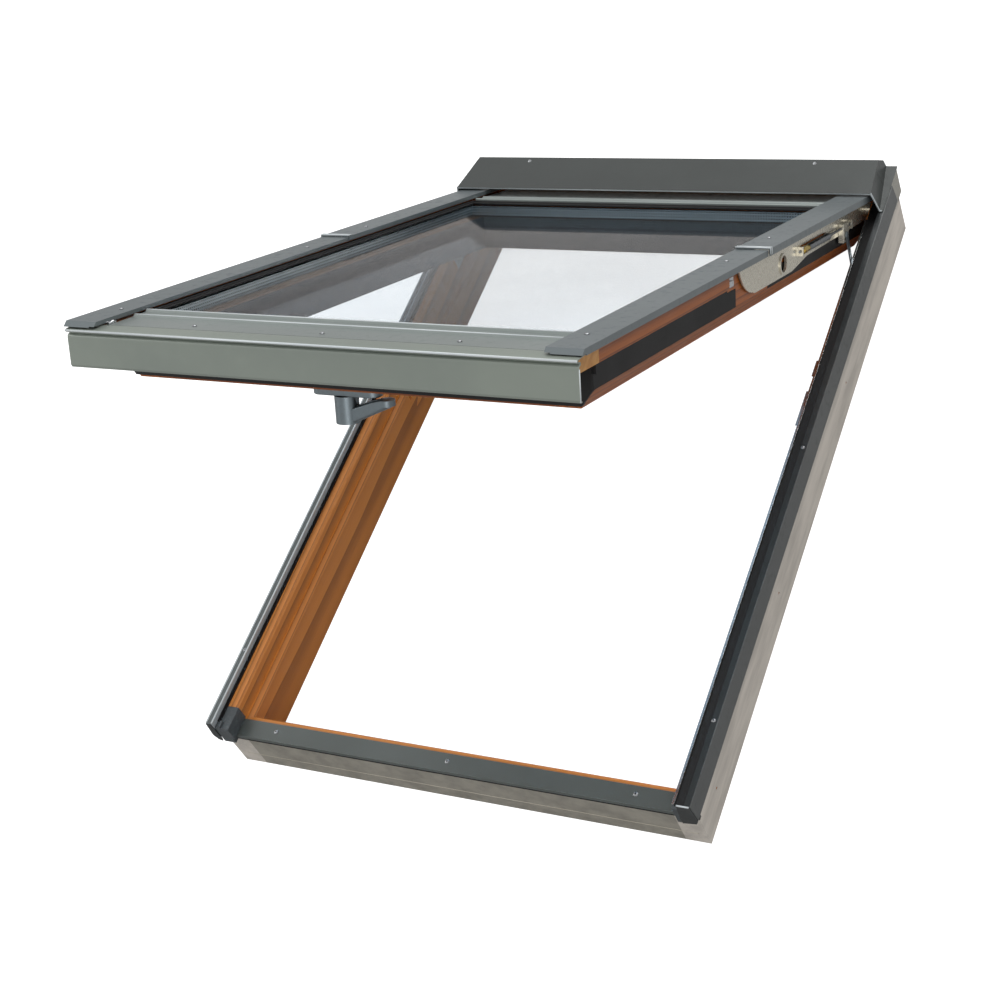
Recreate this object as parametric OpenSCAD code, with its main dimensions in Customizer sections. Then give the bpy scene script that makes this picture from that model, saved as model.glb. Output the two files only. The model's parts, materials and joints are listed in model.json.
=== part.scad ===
// Top-hung and pivoting roof window, lying in its own roof plane.
// X runs across, Y runs up the slope, Z points outdoors. The room-side face is z = 0.
// Moving pieces are drawn shut, then swing() turns them to the open position.

/* [Frame] */
// Outside width of the wooden frame
frame_w = 780; // [560:10:1140]
// Outside length of the wooden frame, up the slope
frame_l = 1180; // [960:10:1600]
// Height of the side rails
frame_h = 116; // [110:1:130]
// Thickness of the side rails at the room side
rail_t = 38; // [34:1:50]
// Width of the step in the side rails
ledge_w = 11; // [10:1:14]
// Height of the step above the room-side face
ledge_z = 86; // [80:1:90]
// Thickness of the head and sill rails
head_t = 34; // [30:1:44]
// Height of the closed cladding tops
clad_z = 129.5; // [128:0.5:138]
// Cladding overhang beyond each end of the frame
end_over = 14; // [8:1:20]

/* [Opening] */
// Top-hung opening angle that is drawn
open_angle = 36; // [0:1:36]
// Distance of the top hinge from the upper end of the frame
hinge_drop = 52; // [48:1:56]
// Height of the top hinge
hinge_z = 98; // [96:1:100]

/* [Sash] */
// Gap between the lower sash block and the frame
side_gap = 6; // [5:0.5:8]
// Width of each sash side rail
sash_rail_w = 46; // [42:1:60]
// Underside of the sash wood
sash_z0 = 34; // [30:1:42]
// Top of the sash wood
sash_z1 = 118; // [116:1:120]
// Width of the sash head rail
sash_head_w = 138; // [110:1:150]
// Width of the sash sill block
sash_sill_w = 63; // [56:1:80]
// Overhang of the sash nose beyond the frame
nose_over = 22; // [20:1:26]
// Thickness of each glass pane
pane_t = 4; // [3:1:6]
// Gap between the panes
pane_gap = 16; // [12:1:16]

/* [Covers] */
// Sheet thickness of the covers
sheet = 1.2; // [1:0.1:1.5]
// Width of the side covers
cover_w = 51; // [48:1:56]
// Height of the hood above the room-side face
hood_z = 171; // [168:1:190]
// Taper of the hood towards its back, in degrees
hood_taper = 7.5; // [4:0.5:8]
// Outward lean of the hood's flanks, in degrees
hood_lean = 12; // [6:1:14]
// Depth of the hood up the slope
hood_d = 104; // [100:1:130]

/* [Hardware] */
// Radius of the top hinge pin
hinge_r = 4; // [3.5:0.5:5]
// Radius of the stay pin
stay_r = 3; // [2.5:0.5:3.5]
// Radius of the spring rod
rod_r = 2.2; // [2:0.1:2.4]
// Running clearance of pins and rods
fit = 0.05; // [0.03:0.01:0.08]
// Radius of the curved pivot track
track_r = 52; // [50:1:53]
// Radius of the tool port in the arms
port_r = 12.5; // [8:0.5:13]
// Shank radius of the small screws
screw_r = 1.8; // [1.5:0.1:2]
// Radius of the fixing holes in the frame sides
fix_r = 2; // [1.5:0.5:3]
// First fixing hole above the lower end
fix_low = 63; // [40:1:80]
// Spacing of the lower pair of fixing holes
fix_pitch = 329; // [200:1:360]
// Spacing of the upper pair of fixing holes
fix_rise = 405.5; // [200:0.5:420]

/* [Hidden] */
$fn = 48;
hx = frame_w / 2;
hl = frame_l / 2;
open_x = hx - rail_t;
upper_x = open_x + ledge_w;
open_y = hl - head_t;
hinge_y = hl - hinge_drop;
pivot_y = 0;
pivot_z = clad_z + 1.5;
// sash outline
sash_x = open_x - side_gap;
wide_x = upper_x - 9;
wide_y = -108;
in_x = sash_x - sash_rail_w;
lip_x = sash_x - 8;
sash_top = open_y - 10;
sash_low = -(open_y - 15);
head_in = sash_top - sash_head_w;
sill_in = sash_low + sash_sill_w;
nose_y = -(hl + nose_over);
seal_z = sash_z0 + 24;
seal_y = [[sash_low - 1, -track_r - 13], [track_r + 13, sash_top + 1]];
block_z = ledge_z + 6;
rebate_z = ledge_z + 3;
panel_y = nose_y - 18;
// glass
glass_x = lip_x - 2;
glass_top = head_in + 13;
glass_low = sash_low + 13;
glass_z = rebate_z + 0.5;
unit_t = 2 * pane_t + pane_gap;
glass_z1 = glass_z + unit_t;
// covers
cover_z = clad_z - 0.5;
low_cover_z = cover_z - 1.6;
skirt_z = frame_h + 2.4;
cover_x = upper_x + 11;
cover_in = cover_x - cover_w;
low_cover_x = cover_x - sheet - 0.6;
cover_top = hinge_y - 15;
hood_y = hl + end_over - hood_d;
hood_x = hx - 10;
hood_fall = 9;
hood_bend = hl - 4;
clad_in = hx - 4.5;
clad_out = hx + 8.5;
clad_low = hl + end_over;
cap_t = 1.5;
// hinge arms
arm_x = sash_x + 2.3;
arm_t = 2.2;
arm_out = arm_x + arm_t;
arm_low = hinge_z - 32;
arm_high = hinge_z + 12;
disc_r = track_r + 12;
gear_out = upper_x - 4;
rod_x = (arm_out + gear_out) / 2 + 0.4;
spring_r = 5.6;
nut_r = 5.8;
port_z = hinge_z - 14;
link_z = hinge_z - 20;
rod_z = hinge_z - 8;
rod_top = hinge_y - 105;
rod_low = hinge_y - 345;
// stay linkage, worked out from the drawn opening angle
stay_y = hinge_y - 134;
stay_z = hinge_z - 1;
slide_s = 138;
plate_x = upper_x - 0.4;
plate_t = 3.4;
stay_x = plate_x - 3;
stay_t = 2.2;
function swung(y, z, a) = [
    hinge_y + (y - hinge_y) * cos(a) + (z - hinge_z) * sin(a),
    hinge_z - (y - hinge_y) * sin(a) + (z - hinge_z) * cos(a)];
slide_pt = swung(hinge_y - slide_s, link_z, 36);
stay_l = norm(slide_pt - [stay_y, stay_z]);
slide_shut = stay_y - sqrt(stay_l * stay_l - pow(link_z - stay_z, 2));
slide_open = hinge_y - slide_s;
stay_up = atan2(slide_pt[1] - stay_z, slide_pt[0] - stay_y);
stay_down = atan2(link_z - stay_z, slide_shut - stay_y) + 360;
open_part = open_angle / 36;
slide_y = slide_shut + (slide_open - slide_shut) * open_part;
stay_angle = stay_down + (stay_up - stay_down) * open_part;
// screws
clad_screw_y = [-(hl - 122), 10];
sill_screw_x = [-1, 0, 1] * (hx - 93);
bead_screw_x = [-1, 0, 1] * (hx - 196);
low_screw_y = [-(hl - 42), -90];
high_screw_y = 85;
rivet_x = hx - 125;
fix_y = [-hl + fix_low, -hl + fix_low + fix_pitch, -hl + fix_low + fix_pitch + fix_rise];
// handle
handle_y = sash_low + 18;
handle_x = -14;
lock_z = 60;

// ---------- helpers ----------

// Turns shut pieces about the top hinge to the drawn opening angle.
module swing() {
    translate([0, hinge_y, hinge_z]) rotate([-open_angle, 0, 0])
        translate([0, -hinge_y, -hinge_z]) children();
}

// Left-hand copy of a right-hand piece.
module lefthand() {
    mirror([1, 0, 0]) children();
}

// Extrudes an X-Z outline up the slope from y0 to y1.
module along_y(y0, y1) {
    translate([0, y1, 0]) rotate([90, 0, 0]) linear_extrude(y1 - y0) children();
}

// Extrudes a Y-Z outline across from x0 to x1.
module along_x(x0, x1) {
    translate([x0, 0, 0]) rotate([90, 0, 90]) linear_extrude(x1 - x0) children();
}

// Box from its low corner to its high corner.
module block(a, b) {
    translate(a) cube(b - a);
}

// Cylinder along X at a place in the Y-Z plane.
module pin_x(y, z, r, x0, x1) {
    translate([x0, y, z]) rotate([0, 90, 0]) cylinder(r = r, h = x1 - x0);
}

// Cylinder along Y at a place in the X-Z plane.
module pin_y(x, z, r, y0, y1) {
    translate([x, y1, z]) rotate([90, 0, 0]) cylinder(r = r, h = y1 - y0);
}

function unit(v) = v / norm(v);
function left_of(v) = [-v[1], v[0]];
function edge_side(p, i) = left_of(unit(p[i + 1] - p[i]));
function corner_side(p, i) =
    let (n = len(p) - 1,
         a = edge_side(p, max(i - 1, 0)),
         b = edge_side(p, min(i, n - 1)),
         m = unit(a + b))
    m / (m * a);

// Outline of a bent sheet whose middle line follows the points.
function ribbon(p, t) = concat(
    [for (i = [0:len(p) - 1]) p[i] + corner_side(p, i) * t / 2],
    [for (i = [len(p) - 1:-1:0]) p[i] - corner_side(p, i) * t / 2]);

// Pan-head screw standing on a face, with its shank below.
module screw(x, y, z, down, head_r = 4) {
    translate([x, y, z]) {
        difference() {
            cylinder(r1 = head_r, r2 = head_r * 0.72, h = 1.6);
            translate([0, 0, 0.7]) cylinder(r = head_r * 0.34, h = 2, $fn = 6);
        }
        translate([0, 0, -down]) cylinder(r = screw_r, h = down);
    }
}

// Clearance bore for a screw.
module screw_bore(x, y, z0, z1) {
    translate([x, y, z0]) cylinder(r = screw_r + 0.1, h = z1 - z0);
}

// ---------- frame ----------

module frame_side() {
    color("burlywood") difference() {
        along_y(-hl, hl) polygon([[open_x, 0], [hx, 0], [hx, frame_h], [upper_x + 3, frame_h],
            [upper_x, frame_h - 3], [upper_x, ledge_z], [open_x + 7, ledge_z],
            [open_x, ledge_z - 7]]);
        // room for the hinge gear above the routed step
        block([open_x - 1, 95, ledge_z - 24], [upper_x, open_y, frame_h]);
        // seat of the hinge plate
        block([upper_x - 1, stay_y - 24, ledge_z - 4],
            [plate_x + plate_t, hinge_y + 22, frame_h - 4]);
        for (y = clad_screw_y)
            screw_bore((clad_in + hx) / 2 + 0.6, y, frame_h - 12, frame_h + 1);
        for (y = fix_y) pin_x(y, 46, fix_r, hx - 16, hx + 1);
        // lining groove across the ends
        for (s = [-1, 1])
            block([open_x - 1, s > 0 ? hl - 2 : -hl - 1, 24], [hx - 12, s > 0 ? hl + 1 : -hl + 2, 26]);
        // room for the head and sill tongues
        for (s = [-1, 1])
            block([open_x - 1, s > 0 ? open_y + 8 : -hl + 8, 20],
                [open_x + 10, s > 0 ? hl - 8 : -open_y - 8, 70]);
    }
}

module frame_cross(s) {
    top = s > 0 ? frame_h - 4 : ledge_z;
    color("burlywood") difference() {
        union() {
            along_x(-open_x, open_x)
                polygon([[s * open_y, 0], [s * hl, 0], [s * hl, top], [s * (open_y + (s > 0 ? 10 : 3)), top],
                    [s * (open_y + (s > 0 ? 10 : 3)), s > 0 ? ledge_z : top],
                    [s * (open_y + 3), ledge_z], [s * open_y, ledge_z - 3]]);
            along_x(-open_x - 9.9, open_x + 9.9)
                polygon([[s * (open_y + 8.1), 20.1], [s * (hl - 8.1), 20.1],
                    [s * (hl - 8.1), 69.9], [s * (open_y + 8.1), 69.9]]);
        }
        // lining groove round the outside
        block([-open_x - 1, s > 0 ? hl - 2 : -hl - 1, 24], [open_x + 1, s > 0 ? hl + 1 : -hl + 2, 26]);
        if (s < 0) {
            // shadow step under the sill cover
            block([-open_x - 11, -hl - 1, ledge_z - 17], [open_x + 11, -hl + 5, ledge_z + 1]);
            for (x = sill_screw_x) screw_bore(x, -hl + 12, ledge_z - 14, ledge_z + 1);
            // seat of the lock striker
            block([-31, -hl + head_t - 1.5, ledge_z - 24], [31, -open_y + 1, ledge_z - 7]);
        }
    }
}

module rail_cladding() {
    t = sheet;
    color("dimgray") difference() {
        along_y(-clad_low + cap_t, hood_y + 60) polygon(ribbon([[hx - 0.8, frame_h + t / 2],
            [clad_in + t / 2, frame_h + t / 2], [clad_in + t / 2, clad_z - t / 2],
            [hx + 4.5, clad_z - t / 2], [clad_out - t / 2, clad_z - 34], [clad_out - 5, clad_z - 45],
            [hx + 2.2, clad_z - 47]], t));
        for (y = clad_screw_y) screw_bore((clad_in + hx) / 2 + 0.6, y, frame_h - 1, clad_z + 1);
    }
}

module rail_screws() {
    color("silver") for (s = [-1, 1], y = clad_screw_y)
        screw(s * ((clad_in + hx) / 2 + 0.6), y, clad_z, clad_z - frame_h + 11, 3.2);
}

// Cap on the lower end of a rail's cladding; the wide one also covers the end of the rail.
module end_cap(wide) {
    inner = wide ? [[hx - 18, clad_z - 50], [hx - 19, clad_z - 37], [clad_in - 11, clad_z]]
        : [[hx - 3, clad_z - 49], [hx - 5, clad_z - 42], [clad_in, clad_z]];
    color([0.2, 0.21, 0.2]) along_y(-clad_low, -clad_low + cap_t)
        polygon(concat([[hx + 4.5, clad_z], [clad_out, clad_z - 34], [clad_out - 5, clad_z - 46]], inner));
}

// Corner piece between the sill cover and a rail's cladding; the raised one steps up onto the rail.
module corner_cap(raised) {
    x0 = upper_x + 1;
    x1 = clad_in - 0.4;
    top = raised ? frame_h + 1.8 : frame_h - 0.2;
    color([0.27, 0.28, 0.29]) difference() {
        union() {
            block([x0, -clad_low + cap_t, clad_z - 51], [x1, -hl - 0.4, top]);
            if (raised) {
                block([upper_x - 3, -clad_low + cap_t, ledge_z + 5], [x1 - 5.6, -open_y - 6, top]);
                block([cover_x - 0.4, -clad_low + cap_t, top - 1], [x1 - 7, -open_y - 34, top + 4]);
            }
        }
        block([upper_x - 0.3, -hl - 0.4, 0], [x1 + 1, 0, frame_h + 0.3]);
    }
}

module sill_cover() {
    t = sheet;
    x1 = upper_x - 0.4;
    z1 = ledge_z + 4;
    color([0.4, 0.42, 0.42]) difference() {
        along_x(-x1, x1) polygon(ribbon([[-open_y - 9.6, ledge_z + 0.6], [-open_y - 9.6, z1 - t / 2],
            [-hl - 4, z1 - t / 2], [-hl - 5.2, z1 - 4.6], [-hl - 3.6, z1 - 6.2]], t));
        for (x = sill_screw_x) screw_bore(x, -hl + 12, z1 - 5, z1 + 1);
    }
}

module sill_screws() {
    color("silver") for (x = sill_screw_x) screw(x, -hl + 12, ledge_z + 4, 16, 3.8);
}

// Y-Z outline of the hood, drawn in by d; the inner one runs out at the front and below.
function hood_side(d) = let (out = d > 0 ? 9 : 0, foot = clad_z - 0.5)
    [[hood_y - out, hood_z - d], [hood_bend, hood_z - hood_fall - d],
    [hl + end_over - d, hood_z - 27 - d], [hl + end_over - d, foot - out - 15],
    [hood_y - out, foot - out - 15]];

// Everything outside one flank of the hood, moved in by d.
module flank_cut(d) {
    translate([hood_x - d, hood_y, hood_z]) rotate([0, 0, hood_taper]) rotate([0, -hood_lean, 0])
        translate([0, -frame_l, -frame_l]) cube(2 * frame_l);
}

module hood_solid(d) {
    difference() {
        along_x(-hx - 10, hx + 10) polygon(hood_side(d));
        flank_cut(d);
        lefthand() flank_cut(d);
    }
}

module hood() {
    t = sheet;
    foot_z = clad_z + 0.3;
    color([0.31, 0.33, 0.32]) difference() {
        union() {
            difference() {
                hood_solid(0);
                hood_solid(t);
            }
            // front fold
            intersection() {
                hood_solid(0);
                block([-hx, hood_y - 0.2, hood_z - 3.2], [hx, hood_y + 1, hood_z]);
            }
            // side feet on the cladding
            for (s = [-1, 1]) intersection() {
                block([s > 0 ? 0 : -hx - 3.5, hood_y, foot_z], [s > 0 ? hx + 3.5 : 0, hl + end_over, foot_z + t]);
                union() {
                    if (s > 0) flank_cut(t);
                    else lefthand() flank_cut(t);
                }
            }
        }
        // the flanks stop on the cladding, beside the head rail
        for (s = [-1, 1])
            block([s > 0 ? upper_x - 1 : -hx - 11, hood_y - 1, 0],
                [s > 0 ? hx + 11 : -upper_x + 1, hl + 0.4, foot_z]);
        for (s = [-1, 1])
            block([s > 0 ? hx - 16 : -hx - 11, hl, 0], [s > 0 ? hx + 11 : -hx + 16, hl + end_over + 1, foot_z]);
    }
}

// Grey plates that close the cladding beside the hood.
module flank_plates() {
    color("silver") for (s = [-1, 1])
        block([s > 0 ? hx + 0.1 : -hx - 1.3, hood_y + 60.5, clad_z - 55],
            [s > 0 ? hx + 1.3 : -hx - 0.1, hl + end_over - 1, clad_z]);
}

module hood_rivets() {
    back = 10;
    slope = hood_fall / (hood_bend - hood_y);
    color("gainsboro") for (x = [-rivet_x, rivet_x])
        translate([x, hood_bend - back, hood_z - hood_fall + back * slope])
            rotate([-atan(slope), 0, 0]) cylinder(r1 = 3.4, r2 = 2, h = 1.6);
}

// Rubber channel on top of a rail, w wide.
module rail_seal(w, low_y) {
    x1 = clad_in - 0.4;
    color([0.08, 0.08, 0.09]) difference() {
        block([x1 - w, low_y, frame_h], [x1, hood_y + 40, frame_h + 3]);
        block([x1 - w * 0.93, low_y - 1, frame_h + 1], [x1 - w * 0.4, hl, frame_h + 4]);
    }
}

module striker_strip() {
    color("gainsboro") union() {
        block([upper_x - 0.2, -hl - 6, frame_h], [upper_x + 3.4, hood_y - 6, frame_h + 1.3]);
        for (y = [[60, 128], [158, 190]])
            block([upper_x - 3, y[0], frame_h + 0.3], [upper_x + 1, y[1], frame_h + 1.3]);
    }
}

// Steel plate let into the side rail, with the hinge pin and the stay pin.
module hinge_plate() {
    color("lightgray") {
        block([plate_x, stay_y - 23.6, ledge_z - 3.6], [plate_x + plate_t, hinge_y + 21.6, frame_h - 4.4]);
        pin_x(hinge_y, hinge_z, hinge_r, arm_x - 1.2, plate_x + 0.1);
        pin_x(stay_y, stay_z, stay_r, stay_x - 0.4, plate_x + 0.1);
    }
}

module lock_striker() {
    color("silver") difference() {
        block([-30, -open_y - 1.5, ledge_z - 23], [30, -open_y - 0.1, ledge_z - 8]);
        for (x = [-10, 10]) block([x - 7, -open_y - 2, ledge_z - 19], [x + 7, -open_y, ledge_z - 12]);
    }
}

// ---------- hinge arms ----------

// Half disc below the pivot, kept under the covers.
module pivot_disc(r, x0, x1) {
    intersection() {
        pin_x(pivot_y, pivot_z, r, x0, x1);
        union() {
            block([x0, pivot_y - r, arm_low - 40], [x1, pivot_y, low_cover_z - sheet - 0.8]);
            block([x0, pivot_y, arm_low - 40], [x1, pivot_y + r, cover_z - sheet - 0.8]);
        }
    }
}

module arm() {
    port_y = hinge_y - 416;
    color([0.75, 0.74, 0.7]) difference() {
        union() {
            along_x(arm_x, arm_out) polygon([[pivot_y, arm_low - 1], [port_y + 40, arm_low - 1],
                [rod_low + 40, arm_low + 10], [hinge_y, arm_low + 14], [hinge_y, arm_high], [pivot_y, arm_high]]);
            pivot_disc(disc_r, arm_x, arm_out);
            // curved track ribs on the sash side
            difference() {
                pivot_disc(track_r + 7, arm_x - 5.8, arm_x);
                pin_x(pivot_y, pivot_z, track_r + 3.1, arm_x - 6, arm_x);
            }
            difference() {
                pivot_disc(track_r - 3.1, arm_x - 5.8, arm_x);
                pin_x(pivot_y, pivot_z, track_r - 7, arm_x - 6, arm_x);
            }
            // hinge eye
            pin_x(hinge_y, hinge_z, 10, arm_x - 1, gear_out + 0.4);
            pin_x(hinge_y, hinge_z, 15, arm_x, arm_out);
            // raised rim of the tool port
            pin_x(port_y, port_z, port_r + 3.5, arm_out - 0.1, arm_out + 1.8);
            // rod lugs
            for (y = [rod_top, rod_low - 5])
                block([arm_out - 0.5, y, rod_z - 7], [gear_out, y + 5, rod_z + 7]);
            // tabs that carry the upper cover
            for (y = [high_screw_y - 11, cover_top - 90]) {
                block([arm_x, y, arm_high - 1], [arm_out, y + 22, cover_z - sheet]);
                block([arm_x - 10, y, cover_z - sheet - 1.4], [arm_out, y + 22, cover_z - sheet]);
            }
        }
        pin_x(hinge_y, hinge_z, hinge_r + fit, arm_x - 8, upper_x);
        pin_x(port_y, port_z, port_r, arm_x - 1, arm_out + 3);
        pin_y(rod_x, rod_z, rod_r + 0.1, rod_low - 7, rod_top + 7);
        // window behind the spring and its nut
        block([arm_x - 1, rod_low + 1, rod_z - nut_r - 0.4], [arm_out + 1, slide_shut - 16, rod_z + nut_r + 0.4]);
        screw_bore(arm_x - 5.5, high_screw_y, cover_z - 9, cover_z);
        // small notch at the foot of the disc
        block([arm_x - 1, -disc_r + 26, arm_high + 4], [arm_out + 1, -disc_r + 33, pivot_z]);
    }
}

module upper_cover() {
    t = sheet;
    color([0.45, 0.49, 0.5]) difference() {
        union() {
            block([cover_in, 1, skirt_z], [cover_x, cover_top, cover_z]);
            block([cover_in - 0.6, 0.6, cover_z - 3], [cover_x + 1, 8, cover_z + 1.4]);
            block([cover_x - 1, 0.6, skirt_z + 1], [cover_x + 1, 8, cover_z]);
        }
        block([cover_in + t, 0, 0], [cover_x - t, hl, cover_z - t]);
        block([0, 0, 0], [cover_in + 8, hl, cover_z - 7]);
        screw_bore(arm_x - 5.5, high_screw_y, cover_z - 3, cover_z + 3);
    }
}

module upper_cover_screws() {
    color("silver") for (s = [-1, 1]) screw(s * (arm_x - 5.5), high_screw_y, cover_z, 5, 3.6);
}

module rod() {
    color("silver") pin_y(rod_x, rod_z, rod_r, rod_low - 8, rod_top + 8);
}

module spring() {
    color("gray") difference() {
        pin_y(rod_x, rod_z, spring_r, rod_low + 30, slide_shut - 16.5);
        pin_y(rod_x, rod_z, rod_r + 0.5, rod_low + 20, slide_shut);
    }
}

// Brass nut that sets the spring, with six flats and a collar.
module adjuster() {
    color("darkkhaki") difference() {
        union() {
            pin_y(rod_x, rod_z, nut_r * 0.8, rod_low + 0.3, rod_low + 29.5);
            translate([rod_x, rod_low + 22, rod_z]) rotate([90, 0, 0]) cylinder(r = nut_r, h = 18, $fn = 6);
        }
        pin_y(rod_x, rod_z, rod_r + fit, rod_low, rod_low + 30);
    }
}

// ---------- stays and their carriages ----------

module stay() {
    color("darkgray") translate([0, stay_y, stay_z]) rotate([stay_angle, 0, 0]) difference() {
        union() {
            block([stay_x, 0, -4.5], [stay_x + stay_t, stay_l, 4.5]);
            for (y = [0, stay_l]) pin_x(y, 0, 6, stay_x, stay_x + stay_t);
            pin_x(stay_l, 0, 4, stay_x + stay_t - 0.2, stay_x + stay_t + 0.5);
        }
        pin_x(0, 0, stay_r + fit, stay_x - 1, stay_x + stay_t + 1);
    }
}

module carriage() {
    x0 = arm_out + 0.3;
    color("lightgray") difference() {
        union() {
            block([x0, slide_y - 12, rod_z - 7], [gear_out, slide_y + 16, rod_z + 7]);
            block([x0, slide_y - 12, link_z - 11], [gear_out, slide_y + 16, rod_z]);
        }
        pin_y(rod_x, rod_z, rod_r + fit, slide_y - 20, slide_y + 20);
        // marks of the folded cheek
        for (z = [rod_z + 4, rod_z - 18])
            block([gear_out - 0.8, slide_y - 9, z], [gear_out + 1, slide_y + 13, z + 1]);
        for (y = [slide_y - 9, slide_y + 4])
            block([gear_out - 0.8, y, rod_z - 18], [gear_out + 1, y + 1, rod_z - 5]);
    }
}

// ---------- sash ----------

module sash_side() {
    color("chocolate") difference() {
        union() {
            along_y(sash_low, sash_top) polygon([[in_x, sash_z0], [sash_x - 18, sash_z0],
                [sash_x, sash_z0 + 24], [sash_x, sash_z1], [lip_x, sash_z1], [lip_x, rebate_z],
                [in_x, rebate_z]]);
            block([sash_x - 1, sash_low, block_z], [wide_x, wide_y, sash_z1]);
        }
        // groove of the sash seal, on both sides of the pivot gear
        for (y = seal_y) block([sash_x - 4, y[0], seal_z], [sash_x + 1, y[1], ledge_z - 1]);
        // pocket of the pivot gear
        pin_x(pivot_y, pivot_z, track_r + 10, arm_x - 7.3, arm_x);
        for (y = low_screw_y) if (y > sash_low) screw_bore(sash_x - 3, y, sash_z1 - 7, sash_z1 + 1);
    }
}

// Y-Z outline of the nose under the sill bead.
function nose_outline() = [[sash_low, block_z], [nose_y + 6, block_z], [nose_y, block_z + 6],
    [nose_y, sash_z1 - 6], [nose_y + 6, sash_z1], [sash_low, sash_z1]];

module sash_sill_rail() {
    color("chocolate") difference() {
        union() {
            along_x(-in_x, in_x) polygon([[sill_in, sash_z0], [sash_low, sash_z0], [sash_low, sash_z1], [glass_low - 2, sash_z1],
                [glass_low - 2, rebate_z], [sill_in, rebate_z]]);
            along_x(-wide_x, wide_x) polygon(nose_outline());
        }
        for (s = [-1, 1]) screw_bore(s * (sash_x - 3), low_screw_y[0], sash_z1 - 7, sash_z1 + 1);
        for (x = bead_screw_x) screw_bore(x, nose_y + 24, sash_z1 - 9, sash_z1 + 1);
        // mortise of the lock case
        block([-32, sash_low - 1, lock_z], [32, sash_low + 18, lock_z + 20]);
    }
}

module sash_head_rail() {
    color("chocolate") along_x(-in_x, in_x) polygon([[head_in, sash_z0], [sash_top, sash_z0],
        [sash_top, sash_z1], [glass_top + 2, sash_z1], [glass_top + 2, rebate_z], [head_in, rebate_z]]);
}

module pane(z) {
    block([-glass_x, glass_low, z], [glass_x, glass_top, z + pane_t]);
}

module ring(dx, y0, y1, z0, z1, wall) {
    difference() {
        block([-dx, y0, z0], [dx, y1, z1]);
        block([-dx + wall, y0 + wall, z0 - 1], [dx - wall, y1 - wall, z1 + 1]);
    }
}

module pane_spacer() {
    color("silver") ring(glass_x - 10, glass_low + 10, glass_top - 11, glass_z + pane_t,
        glass_z + pane_t + pane_gap, 7);
}

module glass_gasket() {
    g = cover_in - 6;
    wall = glass_x - 1 - g;
    color([0.07, 0.07, 0.08]) union() {
        difference() {
            block([-g - wall, sill_edge() - 3, glass_z1], [g + wall, head_edge() + 3, glass_z1 + 3.5]);
            block([-g, sill_edge() + 6, glass_z1 - 1], [g, head_edge() - 6, glass_z1 + 5]);
        }
        ring(g + 4, sill_edge() + 2, head_edge() - 2, glass_z1, glass_z1 + 6.5, 2.4);
    }
}

function sill_edge() = sash_low + 22;
function head_edge() = head_in + 5;

// Black seal in the side grooves and under the nose.
module sash_seal() {
    lip_z = ledge_z - 7.7;
    z1 = ledge_z - 1.3;
    x1 = sash_x + 4.8;
    color([0.05, 0.05, 0.06]) union() {
        for (s = [-1, 1]) {
            for (y = [[sash_low - 3, seal_y[0][1] - 0.3], [seal_y[1][0] + 0.3, seal_y[1][1] - 1]])
                block([s > 0 ? sash_x - 3.7 : -sash_x - 0.4, y[0], seal_z + 0.3],
                    [s > 0 ? sash_x + 0.4 : -sash_x + 3.7, y[1], z1]);
            block([s > 0 ? sash_x : -x1, sash_low - 3, lip_z], [s > 0 ? x1 : -sash_x, wide_y - 1, z1]);
            block([s > 0 ? sash_x + 0.2 : -x1, sash_low - 3, lip_z + 2],
                [s > 0 ? x1 : -sash_x - 0.2, wide_y - 1, block_z - 0.2]);
        }
        // strip across the front of the sill block, open at the lock
        difference() {
            along_y(sash_low - 6, sash_low - 0.2) polygon([[-sash_x, block_z - 0.2], [-sash_x, seal_z],
                [-sash_x + 15, sash_z0 + 4], [sash_x - 15, sash_z0 + 4], [sash_x, seal_z], [sash_x, block_z - 0.2]]);
            block([-17, sash_low - 12, lock_z + 6], [17, sash_low, lock_z + 14]);
        }
    }
}

module front_panel() {
    t = 1.5;
    z = sash_z1 - 2;
    y = panel_y + t / 2;
    color([0.47, 0.5, 0.48]) along_x(-cover_x + 4, cover_x - 4) polygon(ribbon([[nose_y + 5, z + 3],
        [nose_y - 3, z + 3], [y + 1, z + 1.5], [y - 2, z + 1], [y - 3, z - 0.5], [y - 2, z - 2],
        [y + 4, z - 3.2], [y + 4.4, z - 5.6], [y + 1.8, z - 6.4], [y + 0.4, z - 8], [y, z - 11],
        [y, z - 47], [y + 1.5, z - 49.6], [y + 5.5, z - 49.6]], t));
}

// Rolled aluminium bead with two ridges; the outline runs from its inner edge outwards.
function bead_outline(y0, y1, z, d) = [[y0, z - 1], [y0, z + 3.6], [y0 + d * 2, z + 5.2], [y0 + d * 4.5, z + 5.2],
    [y0 + d * 6.5, z + 2.6], [y0 + d * 26, z + 2.2], [y0 + d * 28, z + 4.2], [y0 + d * 31, z + 4.2],
    [y0 + d * 33, z + 2], [y1, z + 1.6], [y1, z + 0.2], [y0 + d * 6, z + 0.2], [y0 + d * 6, z - 1]];

module sill_bead() {
    color([0.62, 0.66, 0.65]) difference() {
        along_x(-cover_in + 5, cover_in - 5)
            polygon(bead_outline(sill_edge() - 3, nose_y + 6.2, sash_z1, -1));
        for (x = bead_screw_x) screw_bore(x, nose_y + 24, sash_z1 - 2, sash_z1 + 9);
    }
}

module head_bead() {
    color([0.55, 0.6, 0.6]) along_x(-cover_in + 5, cover_in - 5)
        polygon(bead_outline(head_edge() + 3, sash_top, sash_z1, 1));
}

module bead_screws() {
    color("silver") for (x = bead_screw_x) screw(x, nose_y + 24, sash_z1 + 1.9, 9, 3.4);
}

// Y-Z outline of the lower cover with its chamfered end at y, drawn in by d.
function cover_side(d, y) = [[-0.8 + (d > 0 ? 6 : 0), low_cover_z - d], [y + 6.5 + d * 0.4, low_cover_z - d],
    [y + d, sash_z1 + 2.9], [y + d, skirt_z - d], [-0.8 + (d > 0 ? 6 : 0), skirt_z - d]];

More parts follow.
